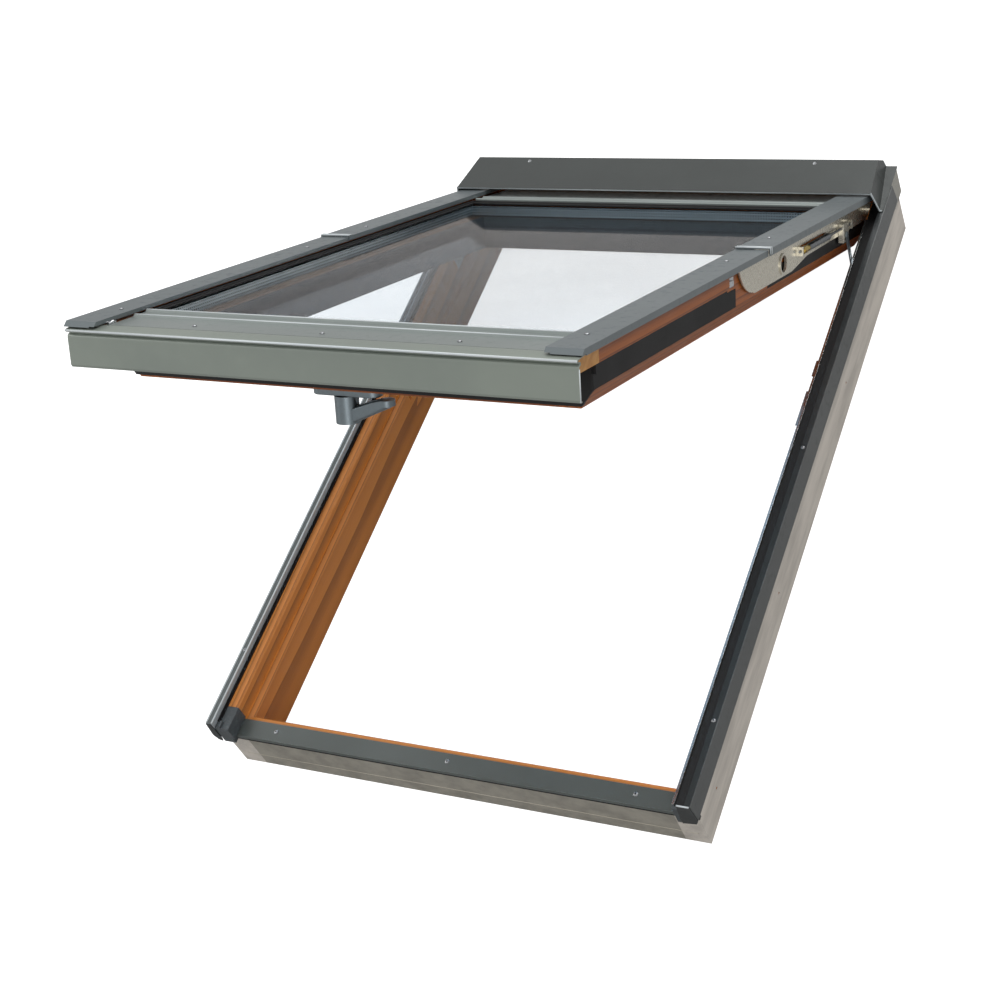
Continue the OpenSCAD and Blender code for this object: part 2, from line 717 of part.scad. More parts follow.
module lower_cover(end_y) {
    t = sheet;
    color([0.4, 0.43, 0.43]) difference() {
        along_x(cover_in, low_cover_x) polygon(cover_side(0, end_y));
        along_x(cover_in + t, low_cover_x - t) polygon(cover_side(t, end_y));
        block([0, -hl * 2, 0], [cover_in + 8, 2, low_cover_z - 5.5]);
        block([0, -hl * 2, 0], [low_cover_x - t, nose_y + 5.5, sash_z1 + 2.4]);
        block([0, -hl * 2, 0], [low_cover_x + t, nose_y - 1, sash_z1 + 2.4]);
        for (y = low_screw_y) screw_bore(sash_x - 3, y, low_cover_z - 3, low_cover_z + 1);
    }
}

module lower_cover_screws() {
    color("silver") for (s = [-1, 1], y = low_screw_y)
        screw(s * (sash_x - 3), y, low_cover_z, low_cover_z - sash_z1 + 6, 3.6);
}

// Thin pressed clips that close the bead against the covers.
module corner_clips() {
    color("white") for (s = [-1, 1]) translate([s * (cover_in - 2.4), 0, 0])
        block([-2.3, nose_y + 7, sash_z1 + 0.3], [2.1, nose_y + 22, sash_z1 + 5.4]);
}

module pivot_plate() {
    x0 = arm_x - 7.3;
    color("silver") difference() {
        union() {
            intersection() {
                pin_x(pivot_y, pivot_z, track_r + 8.5, x0, x0 + 1.2);
                block([x0, -track_r - 9, 0], [x0 + 2, track_r + 9, cover_z - sheet - 5]);
            }
            // curved shoe that runs between the ribs of the arm
            intersection() {
                difference() {
                    pin_x(pivot_y, pivot_z, track_r + 2.8, x0 + 1, arm_x - 0.5);
                    pin_x(pivot_y, pivot_z, track_r - 2.8, x0, arm_x);
                }
                block([x0, track_r * 0.9, pivot_z - 22], [arm_x, track_r * 1.1, cover_z - sheet - 5.2]);
            }
        }
        pin_x(pivot_y, pivot_z, track_r - 24, x0 - 1, x0 + 3);
    }
}

module side_catch() {
    y = -90;
    color("white") difference() {
        union() {
            block([sash_x + 0.1, y - 14, hinge_z - 8], [sash_x + 1.6, y + 14, hinge_z + 6]);
            block([sash_x + 1.4, y - 12, hinge_z + 1], [sash_x + 6, y + 4, hinge_z + 3]);
            block([sash_x + 4.6, y - 12, hinge_z - 5], [sash_x + 6, y + 4, hinge_z + 3]);
            pin_x(y + 9, hinge_z - 3, 3, sash_x + 1.5, sash_x + 3);
        }
        pin_x(y + 9, hinge_z - 3, 1.2, sash_x + 2.2, sash_x + 4);
    }
}

module handle_base() {
    x0 = handle_x - 34;
    x1 = handle_x + 40;
    color([0.35, 0.37, 0.38]) difference() {
        union() {
            for (x = [x0, x1]) translate([x, handle_y, sash_z0 - 9]) cylinder(r = 13, h = 9);
            block([x0, handle_y - 13, sash_z0 - 9], [x1, handle_y + 13, sash_z0]);
        }
        translate([handle_x, handle_y, sash_z0 - 10]) cylinder(r = 9, h = 5);
    }
}

// Lever that turns about the normal of the sash.
module handle() {
    z = sash_z0 - 9;
    color([0.42, 0.45, 0.46]) translate([handle_x, handle_y, 0]) union() {
        translate([0, 0, z - 1]) cylinder(r = 8.8, h = 4);
        translate([0, 0, z - 37]) cylinder(r = 16, h = 36.5);
        hull() {
            translate([6, 0, z - 35]) cylinder(r = 10, h = 15, $fn = 32);
            translate([44, 0, z - 19]) cylinder(r = 9, h = 12, $fn = 32);
        }
        hull() {
            translate([44, 0, z - 19]) cylinder(r = 9, h = 12, $fn = 32);
            translate([60, 0, z - 11]) cylinder(r = 11, h = 8, $fn = 32);
        }
    }
}

module lock_case() {
    color("silver") union() {
        block([-31.8, sash_low, lock_z + 0.2], [31.8, sash_low + 17.8, lock_z + 19.8]);
        for (x = [-10, 10]) block([x - 5, sash_low - 9, lock_z + 8], [x + 5, sash_low + 1, lock_z + 12]);
    }
}

// ---------- assembly ----------

lefthand() frame_side();  // frame_left_rail
frame_side();  // frame_right_rail
frame_cross(-1);  // frame_sill_rail
frame_cross(1);  // frame_head_rail
lefthand() rail_cladding();  // left_rail_cladding
rail_cladding();  // right_rail_cladding
lefthand() end_cap(false);  // left_end_cap
end_cap(true);  // right_end_cap
lefthand() corner_cap(true);  // left_corner_cap
corner_cap(false);  // right_corner_cap
sill_cover();
hood();
hood_rivets();
flank_plates();
lefthand() rail_seal(5, -hl);  // left_rail_seal
rail_seal(18, -hl - 8);  // right_rail_seal
striker_strip();
lefthand() hinge_plate();  // left_hinge_plate
hinge_plate();  // right_hinge_plate
rail_screws();
sill_screws();
lock_striker();
swing() lefthand() arm();  // left_arm
swing() arm();  // right_arm
swing() lefthand() upper_cover();  // left_upper_cover
swing() upper_cover();  // right_upper_cover
swing() lefthand() spring();  // left_spring
swing() spring();  // right_spring
swing() lefthand() adjuster();  // left_adjuster
swing() adjuster();  // right_adjuster
swing() lefthand() rod();  // left_rod
swing() rod();  // right_rod
swing() upper_cover_screws();
lefthand() stay();  // left_stay
stay();  // right_stay
swing() lefthand() carriage();  // left_carriage
swing() carriage();  // right_carriage
swing() lefthand() sash_side();  // sash_left_rail
swing() sash_side();  // sash_right_rail
swing() sash_sill_rail();
swing() sash_head_rail();
swing() color("lightcyan") pane(glass_z + pane_t + pane_gap);  // outer_pane
swing() color("lightcyan") pane(glass_z);  // inner_pane
swing() pane_spacer();
swing() glass_gasket();
swing() sash_seal();
swing() front_panel();
swing() sill_bead();
swing() head_bead();
swing() lefthand() lower_cover(nose_y - 20);  // left_lower_cover
swing() lower_cover(nose_y - 12);  // right_lower_cover
swing() corner_clips();
swing() lower_cover_screws();
swing() bead_screws();
swing() lefthand() pivot_plate();  // left_pivot_plate
swing() pivot_plate();  // right_pivot_plate
swing() side_catch();
swing() handle_base();
swing() handle();
swing() lock_case();
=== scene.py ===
"""Roof window in its frame, held open on its arms, on a plain pale floor.

Every length is in metres. X runs across, Y up the slope to the head, and Z points outdoors.
"""

from __future__ import annotations

import json
import logging
import math
from dataclasses import dataclass, field
from enum import Enum
from typing import Iterable, Sequence

import bmesh
import bpy
from mathutils import Matrix, Vector

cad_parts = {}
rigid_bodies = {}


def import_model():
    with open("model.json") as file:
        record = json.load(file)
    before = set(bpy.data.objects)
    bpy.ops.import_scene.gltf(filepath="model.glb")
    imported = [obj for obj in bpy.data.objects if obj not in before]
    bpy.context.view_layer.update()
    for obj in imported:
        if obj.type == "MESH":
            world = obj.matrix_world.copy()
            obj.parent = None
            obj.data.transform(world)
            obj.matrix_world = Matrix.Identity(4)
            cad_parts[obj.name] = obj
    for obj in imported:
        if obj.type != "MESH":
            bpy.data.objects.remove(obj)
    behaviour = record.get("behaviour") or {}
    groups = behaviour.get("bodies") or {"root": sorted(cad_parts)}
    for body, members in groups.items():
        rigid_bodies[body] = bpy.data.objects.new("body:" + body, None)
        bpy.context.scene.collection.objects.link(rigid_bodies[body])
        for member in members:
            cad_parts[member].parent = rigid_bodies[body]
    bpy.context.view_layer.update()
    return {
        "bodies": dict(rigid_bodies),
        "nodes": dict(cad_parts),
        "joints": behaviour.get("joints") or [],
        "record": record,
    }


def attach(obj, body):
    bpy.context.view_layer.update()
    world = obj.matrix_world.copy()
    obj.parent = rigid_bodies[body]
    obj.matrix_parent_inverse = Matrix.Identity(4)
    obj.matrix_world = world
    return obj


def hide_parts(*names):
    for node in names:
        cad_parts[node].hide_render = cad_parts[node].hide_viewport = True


LOG = logging.getLogger("roof_window")
MM = 0.001
SAME_POINT = 0.001 * MM
SCREW_SIDES = 28
Colour = tuple[float, float, float]
Rgba = tuple[float, float, float, float]
Point = tuple[float, float]
Socket = bpy.types.NodeSocket
Node = bpy.types.Node
Mesh = bpy.types.Mesh


# ---------------------------------------------------------------- node graphs


def linear(colour: Colour) -> Rgba:
    """Turns a display colour from 0 to 1 into the linear colour that nodes take.

    Args:
        colour: Red, green and blue as shown on a display.

    Returns:
        Red, green, blue and an alpha of 1, in linear light.
    """
    parts = [c / 12.92 if c <= 0.04045 else ((c + 0.055) / 1.055) ** 2.4 for c in colour]
    return (parts[0], parts[1], parts[2], 1.0)


class Graph:
    """Adds and joins shader nodes in one tree."""

    def __init__(self, tree: bpy.types.NodeTree) -> None:
        """Keeps the tree that nodes are added to."""
        self.tree = tree
        self.count = 0

    def node(self, kind: str, inputs: dict | None = None, **settings: object) -> Node:
        """Adds a node.

        Args:
            kind: The node's type name.
            inputs: Socket name or number to a value, or to a socket to link from.
            **settings: Attributes of the node.

        Returns:
            The new node.
        """
        made = self.tree.nodes.new(kind)
        made.location = (180 * (self.count % 12), -220 * (self.count // 12))
        self.count += 1
        for name, value in settings.items():
            setattr(made, name, value)
        self.fill(made, inputs or {})
        return made

    def fill(self, made: Node, inputs: dict) -> None:
        """Sets or links several inputs of a node."""
        for name, value in inputs.items():
            self.put(made.inputs[name], value)

    def put(self, socket: Socket, value: object) -> None:
        """Sets a socket to a value, or links another socket to it."""
        if isinstance(value, Socket):
            self.tree.links.new(value, socket)
        else:
            socket.default_value = value

    def math(
        self, operation: str, a: object, b: object = 0.0, clamp: bool = False
    ) -> Socket:
        """Adds a math node and returns its value."""
        made = self.node("ShaderNodeMath", {0: a, 1: b}, operation=operation, use_clamp=clamp)
        return made.outputs[0]

    def span(
        self, value: object, low: float, high: float, to: Point = (0.0, 1.0)
    ) -> Socket:
        """Maps a value from low..high to another range, clamped and smoothed."""
        made = self.node(
            "ShaderNodeMapRange",
            {"Value": value, "From Min": low, "From Max": high, "To Min": to[0], "To Max": to[1]},
            interpolation_type="SMOOTHSTEP",
        )
        return made.outputs["Result"]

    def mix(self, factor: object, a: object, b: object, blend: str = "MIX") -> Socket:
        """Mixes two colours and returns the result."""
        made = self.node(
            "ShaderNodeMix", {0: factor, 6: a, 7: b}, data_type="RGBA", blend_type=blend
        )
        return made.outputs[2]

    def noise(
        self, vector: object, scale: float, detail: float = 3.0, rough: float = 0.5
    ) -> Socket:
        """Adds smooth noise and returns its value."""
        made = self.node(
            "ShaderNodeTexNoise",
            {"Vector": vector, "Scale": scale, "Detail": detail, "Roughness": rough},
        )
        return made.outputs[0]

    def stretched(self, vector: object, scale: tuple[float, float, float]) -> Socket:
        """Scales a coordinate by a different amount along each axis."""
        return self.node("ShaderNodeMapping", {"Vector": vector, "Scale": scale}).outputs[0]

    def across(self, place: object) -> Socket:
        """Distance of a coordinate from the middle plane, left or right."""
        return self.math("ABSOLUTE", self.node("ShaderNodeSeparateXYZ", {0: place}).outputs[0])


def new_group(
    name: str, takes: dict[str, tuple[str, object]], gives: dict[str, str]
) -> tuple[Graph, Node, Node]:
    """Starts a shader node group with named inputs and outputs.

    Args:
        name: The group's name.
        takes: Input name to its socket kind and default value.
        gives: Output name to its socket kind.

    Returns:
        The group's graph, its input node and its output node.
    """
    tree = bpy.data.node_groups.new(name, "ShaderNodeTree")
    for label, (kind, value) in takes.items():
        socket = tree.interface.new_socket(label, in_out="INPUT", socket_type=f"NodeSocket{kind}")
        if value is not None:
            socket.default_value = value
    for label, kind in gives.items():
        tree.interface.new_socket(label, in_out="OUTPUT", socket_type=f"NodeSocket{kind}")
    graph = Graph(tree)
    return graph, graph.node("NodeGroupInput"), graph.node("NodeGroupOutput")


class Effects:
    """Node groups that several finishes share."""

    def __init__(self) -> None:
        """Builds each group once."""
        self.edge_wear = self._edge_wear()
        self.pine = self._pine()
        self.weather = self._weather()
        self.orange_peel = self._orange_peel()

    @staticmethod
    def _edge_wear() -> bpy.types.NodeTree:
        """Mask of outer edges, broken up by noise."""
        graph, given, out = new_group(
            "EdgeWear",
            {"Vector": ("Vector", None), "Radius": ("Float", 0.0012), "Amount": ("Float", 0.5)},
            {"Mask": "Float"},
        )
        rounded = graph.node("ShaderNodeBevel", {"Radius": given.outputs["Radius"]}, samples=4)
        plain = graph.node("ShaderNodeNewGeometry")
        turn = graph.node(
            "ShaderNodeVectorMath",
            {0: rounded.outputs[0], 1: plain.outputs["Normal"]},
            operation="DOT_PRODUCT",
        )
        edge = graph.span(graph.math("SUBTRACT", 1.0, turn.outputs["Value"]), 0.01, 0.2)
        broken = graph.span(graph.noise(given.outputs["Vector"], 60.0, 4.0, 0.6), 0.35, 0.65)
        worn = graph.math("MULTIPLY", edge, broken)
        mask = graph.math("MULTIPLY", worn, given.outputs["Amount"], clamp=True)
        graph.put(out.inputs["Mask"], mask)
        return graph.tree

    @staticmethod
    def _pine() -> bpy.types.NodeTree:
        """Straight pine grain that runs along the Y of the given coordinate."""
        graph, given, out = new_group(
            "PineGrain",
            {
                "Vector": ("Vector", None),
                "Early": ("Color", (0.8, 0.4, 0.15, 1.0)),
                "Late": ("Color", (0.4, 0.15, 0.04, 1.0)),
            },
            {"Color": "Color", "Height": "Float", "Fibre": "Float"},
        )
        along = graph.stretched(given.outputs["Vector"], (1.0, 0.045, 1.0))
        bend = graph.node(
            "ShaderNodeTexNoise", {"Vector": along, "Scale": 9.0, "Detail": 2.0, "Roughness": 0.5}
        )
        vector_math = "ShaderNodeVectorMath"
        pull = graph.node(
            vector_math, {0: bend.outputs["Color"], 1: (0.5, 0.5, 0.5)}, operation="SUBTRACT"
        )
        push = graph.node(vector_math, {0: pull.outputs[0], "Scale": 0.035}, operation="SCALE")
        warped = graph.node(vector_math, {0: along, 1: push.outputs[0]}, operation="ADD")
        rings = graph.node(
            "ShaderNodeTexWave",
            {
                "Vector": warped.outputs[0], "Scale": 38.0, "Distortion": 1.6,
                "Detail": 2.0, "Detail Scale": 0.8,
            },
            wave_type="RINGS",
            rings_direction="Y",
            wave_profile="SAW",
        )
        ring = graph.math("POWER", rings.outputs["Fac"], 2.2)
        fine = graph.stretched(given.outputs["Vector"], (1.0, 0.02, 1.0))
        fibre = graph.noise(fine, 900.0, 2.0, 0.7)
        broad = graph.noise(along, 16.0, 3.0, 0.55)
        depth = graph.math(
            "ADD", graph.math("MULTIPLY", ring, 0.62), graph.math("MULTIPLY", fibre, 0.3)
        )
        tone = graph.math("ADD", depth, graph.math("MULTIPLY", broad, 0.34))
        share = graph.span(tone, 0.1, 1.35)
        mixed = graph.mix(share, given.outputs["Early"], given.outputs["Late"])
        graph.fill(out, {"Color": mixed, "Height": depth, "Fibre": fibre})
        return graph.tree

    @staticmethod
    def _weather() -> bpy.types.NodeTree:
        """Faint uneven film: a broad tone and small smudges."""
        graph, given, out = new_group(
            "WeatherFilm",
            {"Vector": ("Vector", None), "Scale": ("Float", 1.0)},
            {"Tone": "Float", "Smudge": "Float"},
        )
        sized = graph.node(
            "ShaderNodeVectorMath",
            {0: given.outputs["Vector"], "Scale": given.outputs["Scale"]},
            operation="SCALE",
        )
        broad = graph.noise(sized.outputs[0], 4.0, 3.0, 0.5)
        small = graph.noise(sized.outputs[0], 42.0, 5.0, 0.65)
        graph.fill(out, {
            "Tone": graph.span(broad, 0.3, 0.7), "Smudge": graph.span(small, 0.45, 0.75),
        })
        return graph.tree

    @staticmethod
    def _orange_peel() -> bpy.types.NodeTree:
        """Height of the slight ripple and grit that a sprayed coat has."""
        graph, given, out = new_group(
            "OrangePeel", {"Vector": ("Vector", None)}, {"Height": "Float"}
        )
        ripple = graph.noise(given.outputs["Vector"], 320.0, 2.0, 0.4)
        grit = graph.noise(given.outputs["Vector"], 2600.0, 1.0, 0.5)
        coarse, fine = graph.math("MULTIPLY", ripple, 0.7), graph.math("MULTIPLY", grit, 0.3)
        graph.put(out.inputs["Height"], graph.math("ADD", coarse, fine))
        return graph.tree


class Shop:
    """Builds materials from finishes and keeps each one for reuse."""

    def __init__(self, tilt: float, hinge: Vector) -> None:
        """Keeps the opening angle and the hinge, which grain on the open sash follows."""
        self.tilt = tilt
        self.hinge = hinge
        self.effects = Effects()
        self.stock: dict[str, bpy.types.Material] = {}

    def start(self, name: str) -> tuple[bpy.types.Material, Graph, Node, Socket]:
        """Opens a new material with a Principled shader and object coordinates."""
        material = bpy.data.materials.new(name)
        material.use_nodes = True
        material.node_tree.nodes.clear()
        graph = Graph(material.node_tree)
        out = graph.node("ShaderNodeOutputMaterial")
        shader = graph.node("ShaderNodeBsdfPrincipled")
        graph.put(out.inputs["Surface"], shader.outputs[0])
        place = graph.node("ShaderNodeTexCoord").outputs["Object"]
        return material, graph, shader, place

    def group(self, graph: Graph, tree: bpy.types.NodeTree, inputs: dict) -> Node:
        """Places a shared group in a material."""
        made = graph.node("ShaderNodeGroup", None, node_tree=tree)
        graph.fill(made, inputs)
        return made

    def bump(
        self, graph: Graph, shader: Node, height: object, distance: float, strength: float
    ) -> None:
        """Feeds a height into the shader's normal."""
        made = graph.node(
            "ShaderNodeBump", {"Height": height, "Distance": distance, "Strength": strength}
        )
        graph.put(shader.inputs["Normal"], made.outputs[0])

    def untilted(self, graph: Graph, place: object) -> Socket:
        """Turns a coordinate back to the shut position of the sash."""
        made = graph.node(
            "ShaderNodeVectorRotate",
            {"Vector": place, "Angle": self.tilt},
            rotation_type="X_AXIS",
        )
        return made.outputs[0]

    def get(self, finish: "Finish") -> bpy.types.Material:
        """Returns the material of a finish, made on first use."""
        if finish.name not in self.stock:
            self.stock[finish.name] = finish.build(self)
        return self.stock[finish.name]


class Grain(Enum):
    """Direction of wood grain."""

    UP = "up the slope"
    ACROSS = "across"


@dataclass(frozen=True)
class Finish:
    """A named surface finish."""

    name: str

    def build(self, shop: Shop) -> bpy.types.Material:
        """Makes the material."""
        raise NotImplementedError


@dataclass(frozen=True)
class SheetPaint(Finish):
    """Stove-enamelled sheet metal with slight ripple, film and worn edges."""

    base: Colour = (0.35, 0.38, 0.38)
    film: Colour = (0.45, 0.48, 0.46)
    bare: Colour = (0.62, 0.65, 0.64)
    metallic: float = 0.25
    roughness: float = 0.36
    coat: float = 0.12
    wear: float = 0.6
    # Inside this distance from the middle the paint takes a light colour: a painted highlight on
    # the lit inner face of the fold.
    painted_highlight_within: float = 0.0
    painted_highlight_colour: Colour = (0.74, 0.76, 0.77)
    # Inside this distance from the middle the paint takes a darker colour: painted shade over the
    # top.
    painted_shade_within: float = 0.0
    painted_shade_colour: Colour = (0.19, 0.205, 0.21)

    def build(self, shop: Shop) -> bpy.types.Material:
        """Makes the paint, with a painted highlight or a painted shade within set distances of the
        middle.
        """
        material, graph, shader, place = shop.start(self.name)
        film = shop.group(graph, shop.effects.weather, {"Vector": place, "Scale": 1.6})
        worn = shop.group(
            graph,
            shop.effects.edge_wear,
            {"Vector": place, "Radius": 0.0011, "Amount": self.wear},
        )
        base, lighter = linear(self.base), linear(self.film)
        tone = graph.mix(graph.math("MULTIPLY", film.outputs["Tone"], 0.5), base, lighter)
        smudge = graph.math("MULTIPLY", film.outputs["Smudge"], 0.1)
        smudged = graph.mix(smudge, tone, lighter)
        edged = graph.mix(worn.outputs["Mask"], smudged, linear(self.bare))
        # Paints a highlight or a shade into the colour by distance from the middle: painted light,
        # not a change of paint.
        for limit, shade in (
            (self.painted_highlight_within, self.painted_highlight_colour), (self.painted_shade_within, self.painted_shade_colour)
        ):
            if limit > 0.0:
                inside = graph.math("LESS_THAN", graph.across(place), limit)
                edged = graph.mix(inside, edged, linear(shade))
        graph.fill(shader, {"Base Color": edged, "Metallic": self.metallic})
        low, high = self.roughness - 0.05, self.roughness + 0.09
        rough = graph.span(film.outputs["Smudge"], 0.0, 1.0, (low, high))
        graph.fill(shader, {"Roughness": rough, "Coat Weight": self.coat, "Coat Roughness": 0.18})
        peel = shop.group(graph, shop.effects.orange_peel, {"Vector": place})
        shop.bump(graph, shader, peel.outputs["Height"], 0.00005, 0.5)
        return material


@dataclass(frozen=True)
class Lacquered(Finish):
    """Lacquered pine, with its outer face grey where it sits in the roof."""

    early: Colour = (0.86, 0.54, 0.24)
    late: Colour = (0.50, 0.28, 0.10)
    grain: Grain = Grain.UP
    tilted: bool = False
    primed: Colour | None = None
    half_width: float = 0.39
    half_length: float = 0.59
    # Height above which the ends take a painted shadow, under the sill cover.
    shadow_z: float = 0.0689
    end_grain: float = 0.0
    # The faces round the glass can be painted dark grey: painted shade where the sash darkens them
    # under the glass.
    under_glass: bool = False
    glass_half_width: float = 0.3006
    reveal: Point = (-0.4786, 0.4086)
    reveal_shade: Colour = (0.27, 0.31, 0.35)
    worn_and_lit_edge: Colour = (0.90, 0.56, 0.22)
    shadow_step: Colour = (0.19, 0.20, 0.195)

    def build(self, shop: Shop) -> bpy.types.Material:
        """Makes the wood."""
        material, graph, shader, place = shop.start(self.name)
        along = shop.untilted(graph, place) if self.tilted else place
        if self.grain is Grain.ACROSS:
            turned = graph.node(
                "ShaderNodeVectorRotate",
                {"Vector": along, "Angle": math.radians(90.0)},
                rotation_type="Z_AXIS",
            )
            along = turned.outputs[0]
        pine = shop.group(
            graph,
            shop.effects.pine,
            {"Vector": along, "Early": linear(self.early), "Late": linear(self.late)},
        )
        # Edges turn bright orange under the worn-edge mask: partly lacquer worn off, partly a
        # painted highlight on the lit edges.
        worn = shop.group(
            graph, shop.effects.edge_wear, {"Vector": place, "Radius": 0.0024, "Amount": 0.7}
        )
        colour = graph.mix(worn.outputs["Mask"], pine.outputs["Color"], linear(self.worn_and_lit_edge))
        rough = graph.span(pine.outputs["Fibre"], 0.2, 0.8, (0.34, 0.5))
        if self.end_grain > 0.0:
            colour = self._pale_ends(graph, place, colour)
        if self.under_glass:
            # Painted shade on the faces round the glass.
            colour = self._paint_reveal_shade(graph, shop, place, colour)
        if self.primed is not None:
            colour, rough = self._primed_outside(graph, place, pine, colour)
        graph.fill(shader, {
            "Base Color": colour, "Roughness": rough, "Coat Weight": 0.12, "Coat Roughness": 0.3,
        })
        shop.bump(graph, shader, pine.outputs["Height"], 0.00025, 0.5)
        return material

    def _paint_reveal_shade(self, graph: Graph, shop: Shop, place: object, colour: object) -> Socket:
        """Paints the faces round the sash's inner edge, seen under the glass, dark grey: painted
        shade.
        """
        flat = graph.node("ShaderNodeSeparateXYZ", {0: shop.untilted(graph, place)})
        back = Matrix.Rotation(shop.tilt, 4, "X") @ shop.hinge - shop.hinge
        low, high = self.reveal
        across = graph.math("ABSOLUTE", flat.outputs[0])
        inside = graph.math("LESS_THAN", across, self.glass_half_width)
        above = graph.math("GREATER_THAN", flat.outputs[1], low + back.y)
        below = graph.math("LESS_THAN", flat.outputs[1], high + back.y)
        framed = graph.math("MULTIPLY", inside, graph.math("MULTIPLY", above, below))
        return graph.mix(framed, colour, linear(self.reveal_shade))

    def _pale_ends(self, graph: Graph, place: object, colour: object) -> Socket:
        """Turns the sawn ends of a cross rail to smooth golden end grain."""
        ends = graph.math("GREATER_THAN", graph.across(place), self.end_grain)
        rings = graph.noise(graph.stretched(place, (0.2, 1.0, 2.2)), 60.0, 2.0, 0.4)
        golden = graph.mix(
            graph.span(rings, 0.3, 0.7), linear((0.84, 0.62, 0.34)), linear((0.76, 0.52, 0.25))
        )
        return graph.mix(ends, colour, golden)

    def _primed_outside(
        self, graph: Graph, place: object, pine: Node, colour: object
    ) -> tuple[Socket, Socket]:
        """Turns the outer faces to grey primer over faint grain, with a painted shadow near the
        ends under the sill cover.
        """
        axes = graph.node("ShaderNodeSeparateXYZ", {0: place})
        across = graph.math("ABSOLUTE", axes.outputs[0])
        up = graph.math("ABSOLUTE", axes.outputs[1])
        side = graph.math("GREATER_THAN", across, self.half_width - 0.4 * MM)
        end = graph.math("GREATER_THAN", up, self.half_length - 2.5 * MM)
        outside = graph.math("MAXIMUM", side, end)
        streak = graph.noise(graph.stretched(place, (1.0, 0.15, 1.0)), 40.0, 4.0, 0.6)
        assert self.primed is not None
        shade = tuple(c * 0.84 for c in self.primed)
        streaked = graph.span(streak, 0.3, 0.75)
        primer = graph.mix(streaked, linear(self.primed), linear(shade))
        fibre = graph.math("MULTIPLY", pine.outputs["Fibre"], 0.16)
        painted = graph.mix(outside, colour, graph.mix(fibre, primer, linear(shade)))
        # Painted shadow: a dark band near the ends, above shadow_z, in the recess under the sill
        # cover.
        near_end = graph.math("GREATER_THAN", up, self.half_length - 6.0 * MM)
        above = graph.math("GREATER_THAN", axes.outputs[2], self.shadow_z)
        step = graph.math("MULTIPLY", near_end, above)
        shadowed = graph.mix(step, painted, linear(self.shadow_step))
        return shadowed, graph.span(outside, 0.0, 1.0, (0.42, 0.62))


@dataclass(frozen=True)
class Metal(Finish):
    """Bare or plated metal with fine brushing."""

    tint: Colour = (0.72, 0.72, 0.70)
    roughness: float = 0.3
    brush: float = 0.5
    stain: Colour = (0.45, 0.44, 0.42)
    metallic: float = 1.0

    def build(self, shop: Shop) -> bpy.types.Material:
        """Makes the metal."""
        material, graph, shader, place = shop.start(self.name)
        film = shop.group(graph, shop.effects.weather, {"Vector": place, "Scale": 4.0})
        lines = graph.noise(graph.stretched(place, (1.0, 0.06, 1.0)), 1400.0, 2.0, 0.6)
        smudge = graph.math("MULTIPLY", film.outputs["Smudge"], 0.3)
        colour = graph.mix(smudge, linear(self.tint), linear(self.stain))
        graph.fill(shader, {"Base Color": colour, "Metallic": self.metallic})
        low, high = max(self.roughness - 0.07, 0.04), self.roughness + 0.1
        graph.put(shader.inputs["Roughness"], graph.span(lines, 0.25, 0.75, (low, high)))
        shop.bump(graph, shader, lines, 0.00006, self.brush)
        return material


@dataclass(frozen=True)
class Rubber(Finish):
    """Black extruded rubber with fine lengthwise lines."""

    base: Colour = (0.035, 0.035, 0.04)
    roughness: float = 0.55

    def build(self, shop: Shop) -> bpy.types.Material:
        """Makes the rubber."""
        material, graph, shader, place = shop.start(self.name)
        film = shop.group(graph, shop.effects.weather, {"Vector": place, "Scale": 3.0})
        bloom = graph.math("MULTIPLY", film.outputs["Smudge"], 0.07)
        colour = graph.mix(bloom, linear(self.base), linear((0.24, 0.25, 0.25)))
        rough = graph.span(film.outputs["Tone"], 0.0, 1.0, (self.roughness, 0.6))
        graph.fill(shader, {"Base Color": colour, "Roughness": rough})
        lines = graph.noise(graph.stretched(place, (1.0, 0.04, 1.0)), 700.0, 2.0, 0.5)
        shop.bump(graph, shader, lines, 0.0001, 0.5)
        return material


@dataclass(frozen=True)
class Moulded(Finish):
    """Moulded plastic with a fine spark-eroded texture."""

    base: Colour = (0.2, 0.21, 0.21)
    roughness: float = 0.45

    def build(self, shop: Shop) -> bpy.types.Material:
        """Makes the plastic."""
        material, graph, shader, place = shop.start(self.name)
        film = shop.group(graph, shop.effects.weather, {"Vector": place, "Scale": 5.0})
        worn = shop.group(
            graph, shop.effects.edge_wear, {"Vector": place, "Radius": 0.0009, "Amount": 0.4}
        )
        lighter = linear(tuple(min(c * 1.35 + 0.03, 1.0) for c in self.base))
        smudge = graph.math("MULTIPLY", film.outputs["Smudge"], 0.4)
        tone = graph.mix(smudge, linear(self.base), lighter)
        rough = graph.span(film.outputs["Tone"], 0.0, 1.0, (self.roughness, 0.55))
        graph.fill(shader, {
            "Base Color": graph.mix(worn.outputs["Mask"], tone, lighter), "Roughness": rough,
        })
        texture = graph.noise(place, 1800.0, 2.0, 0.6)
        shop.bump(graph, shader, texture, 0.0001, 0.5)
        return material


@dataclass(frozen=True)
class ClearGlass(Finish):
    """Clear pane with a faint cool tint."""

    tint: Colour = (0.75, 0.80, 0.84)

    def build(self, shop: Shop) -> bpy.types.Material:
        """Makes the glass."""
        material, graph, shader, place = shop.start(self.name)
        film = graph.span(graph.noise(place, 5.0, 3.0, 0.5), 0.3, 0.7)
        cooler = tuple(c * 0.985 for c in self.tint)
        colour = graph.mix(film, linear(self.tint), linear(cooler))
        graph.fill(shader, {
            "Base Color": colour, "Roughness": 0.0, "Metallic": 0.0, "IOR": 1.03,
            "Transmission Weight": 1.0,
        })
        shadow = graph.node("ShaderNodeLightPath").outputs["Is Shadow Ray"]
        graph.put(shader.inputs["Alpha"], graph.span(shadow, 0.0, 1.0, (1.0, 0.2)))
        return material


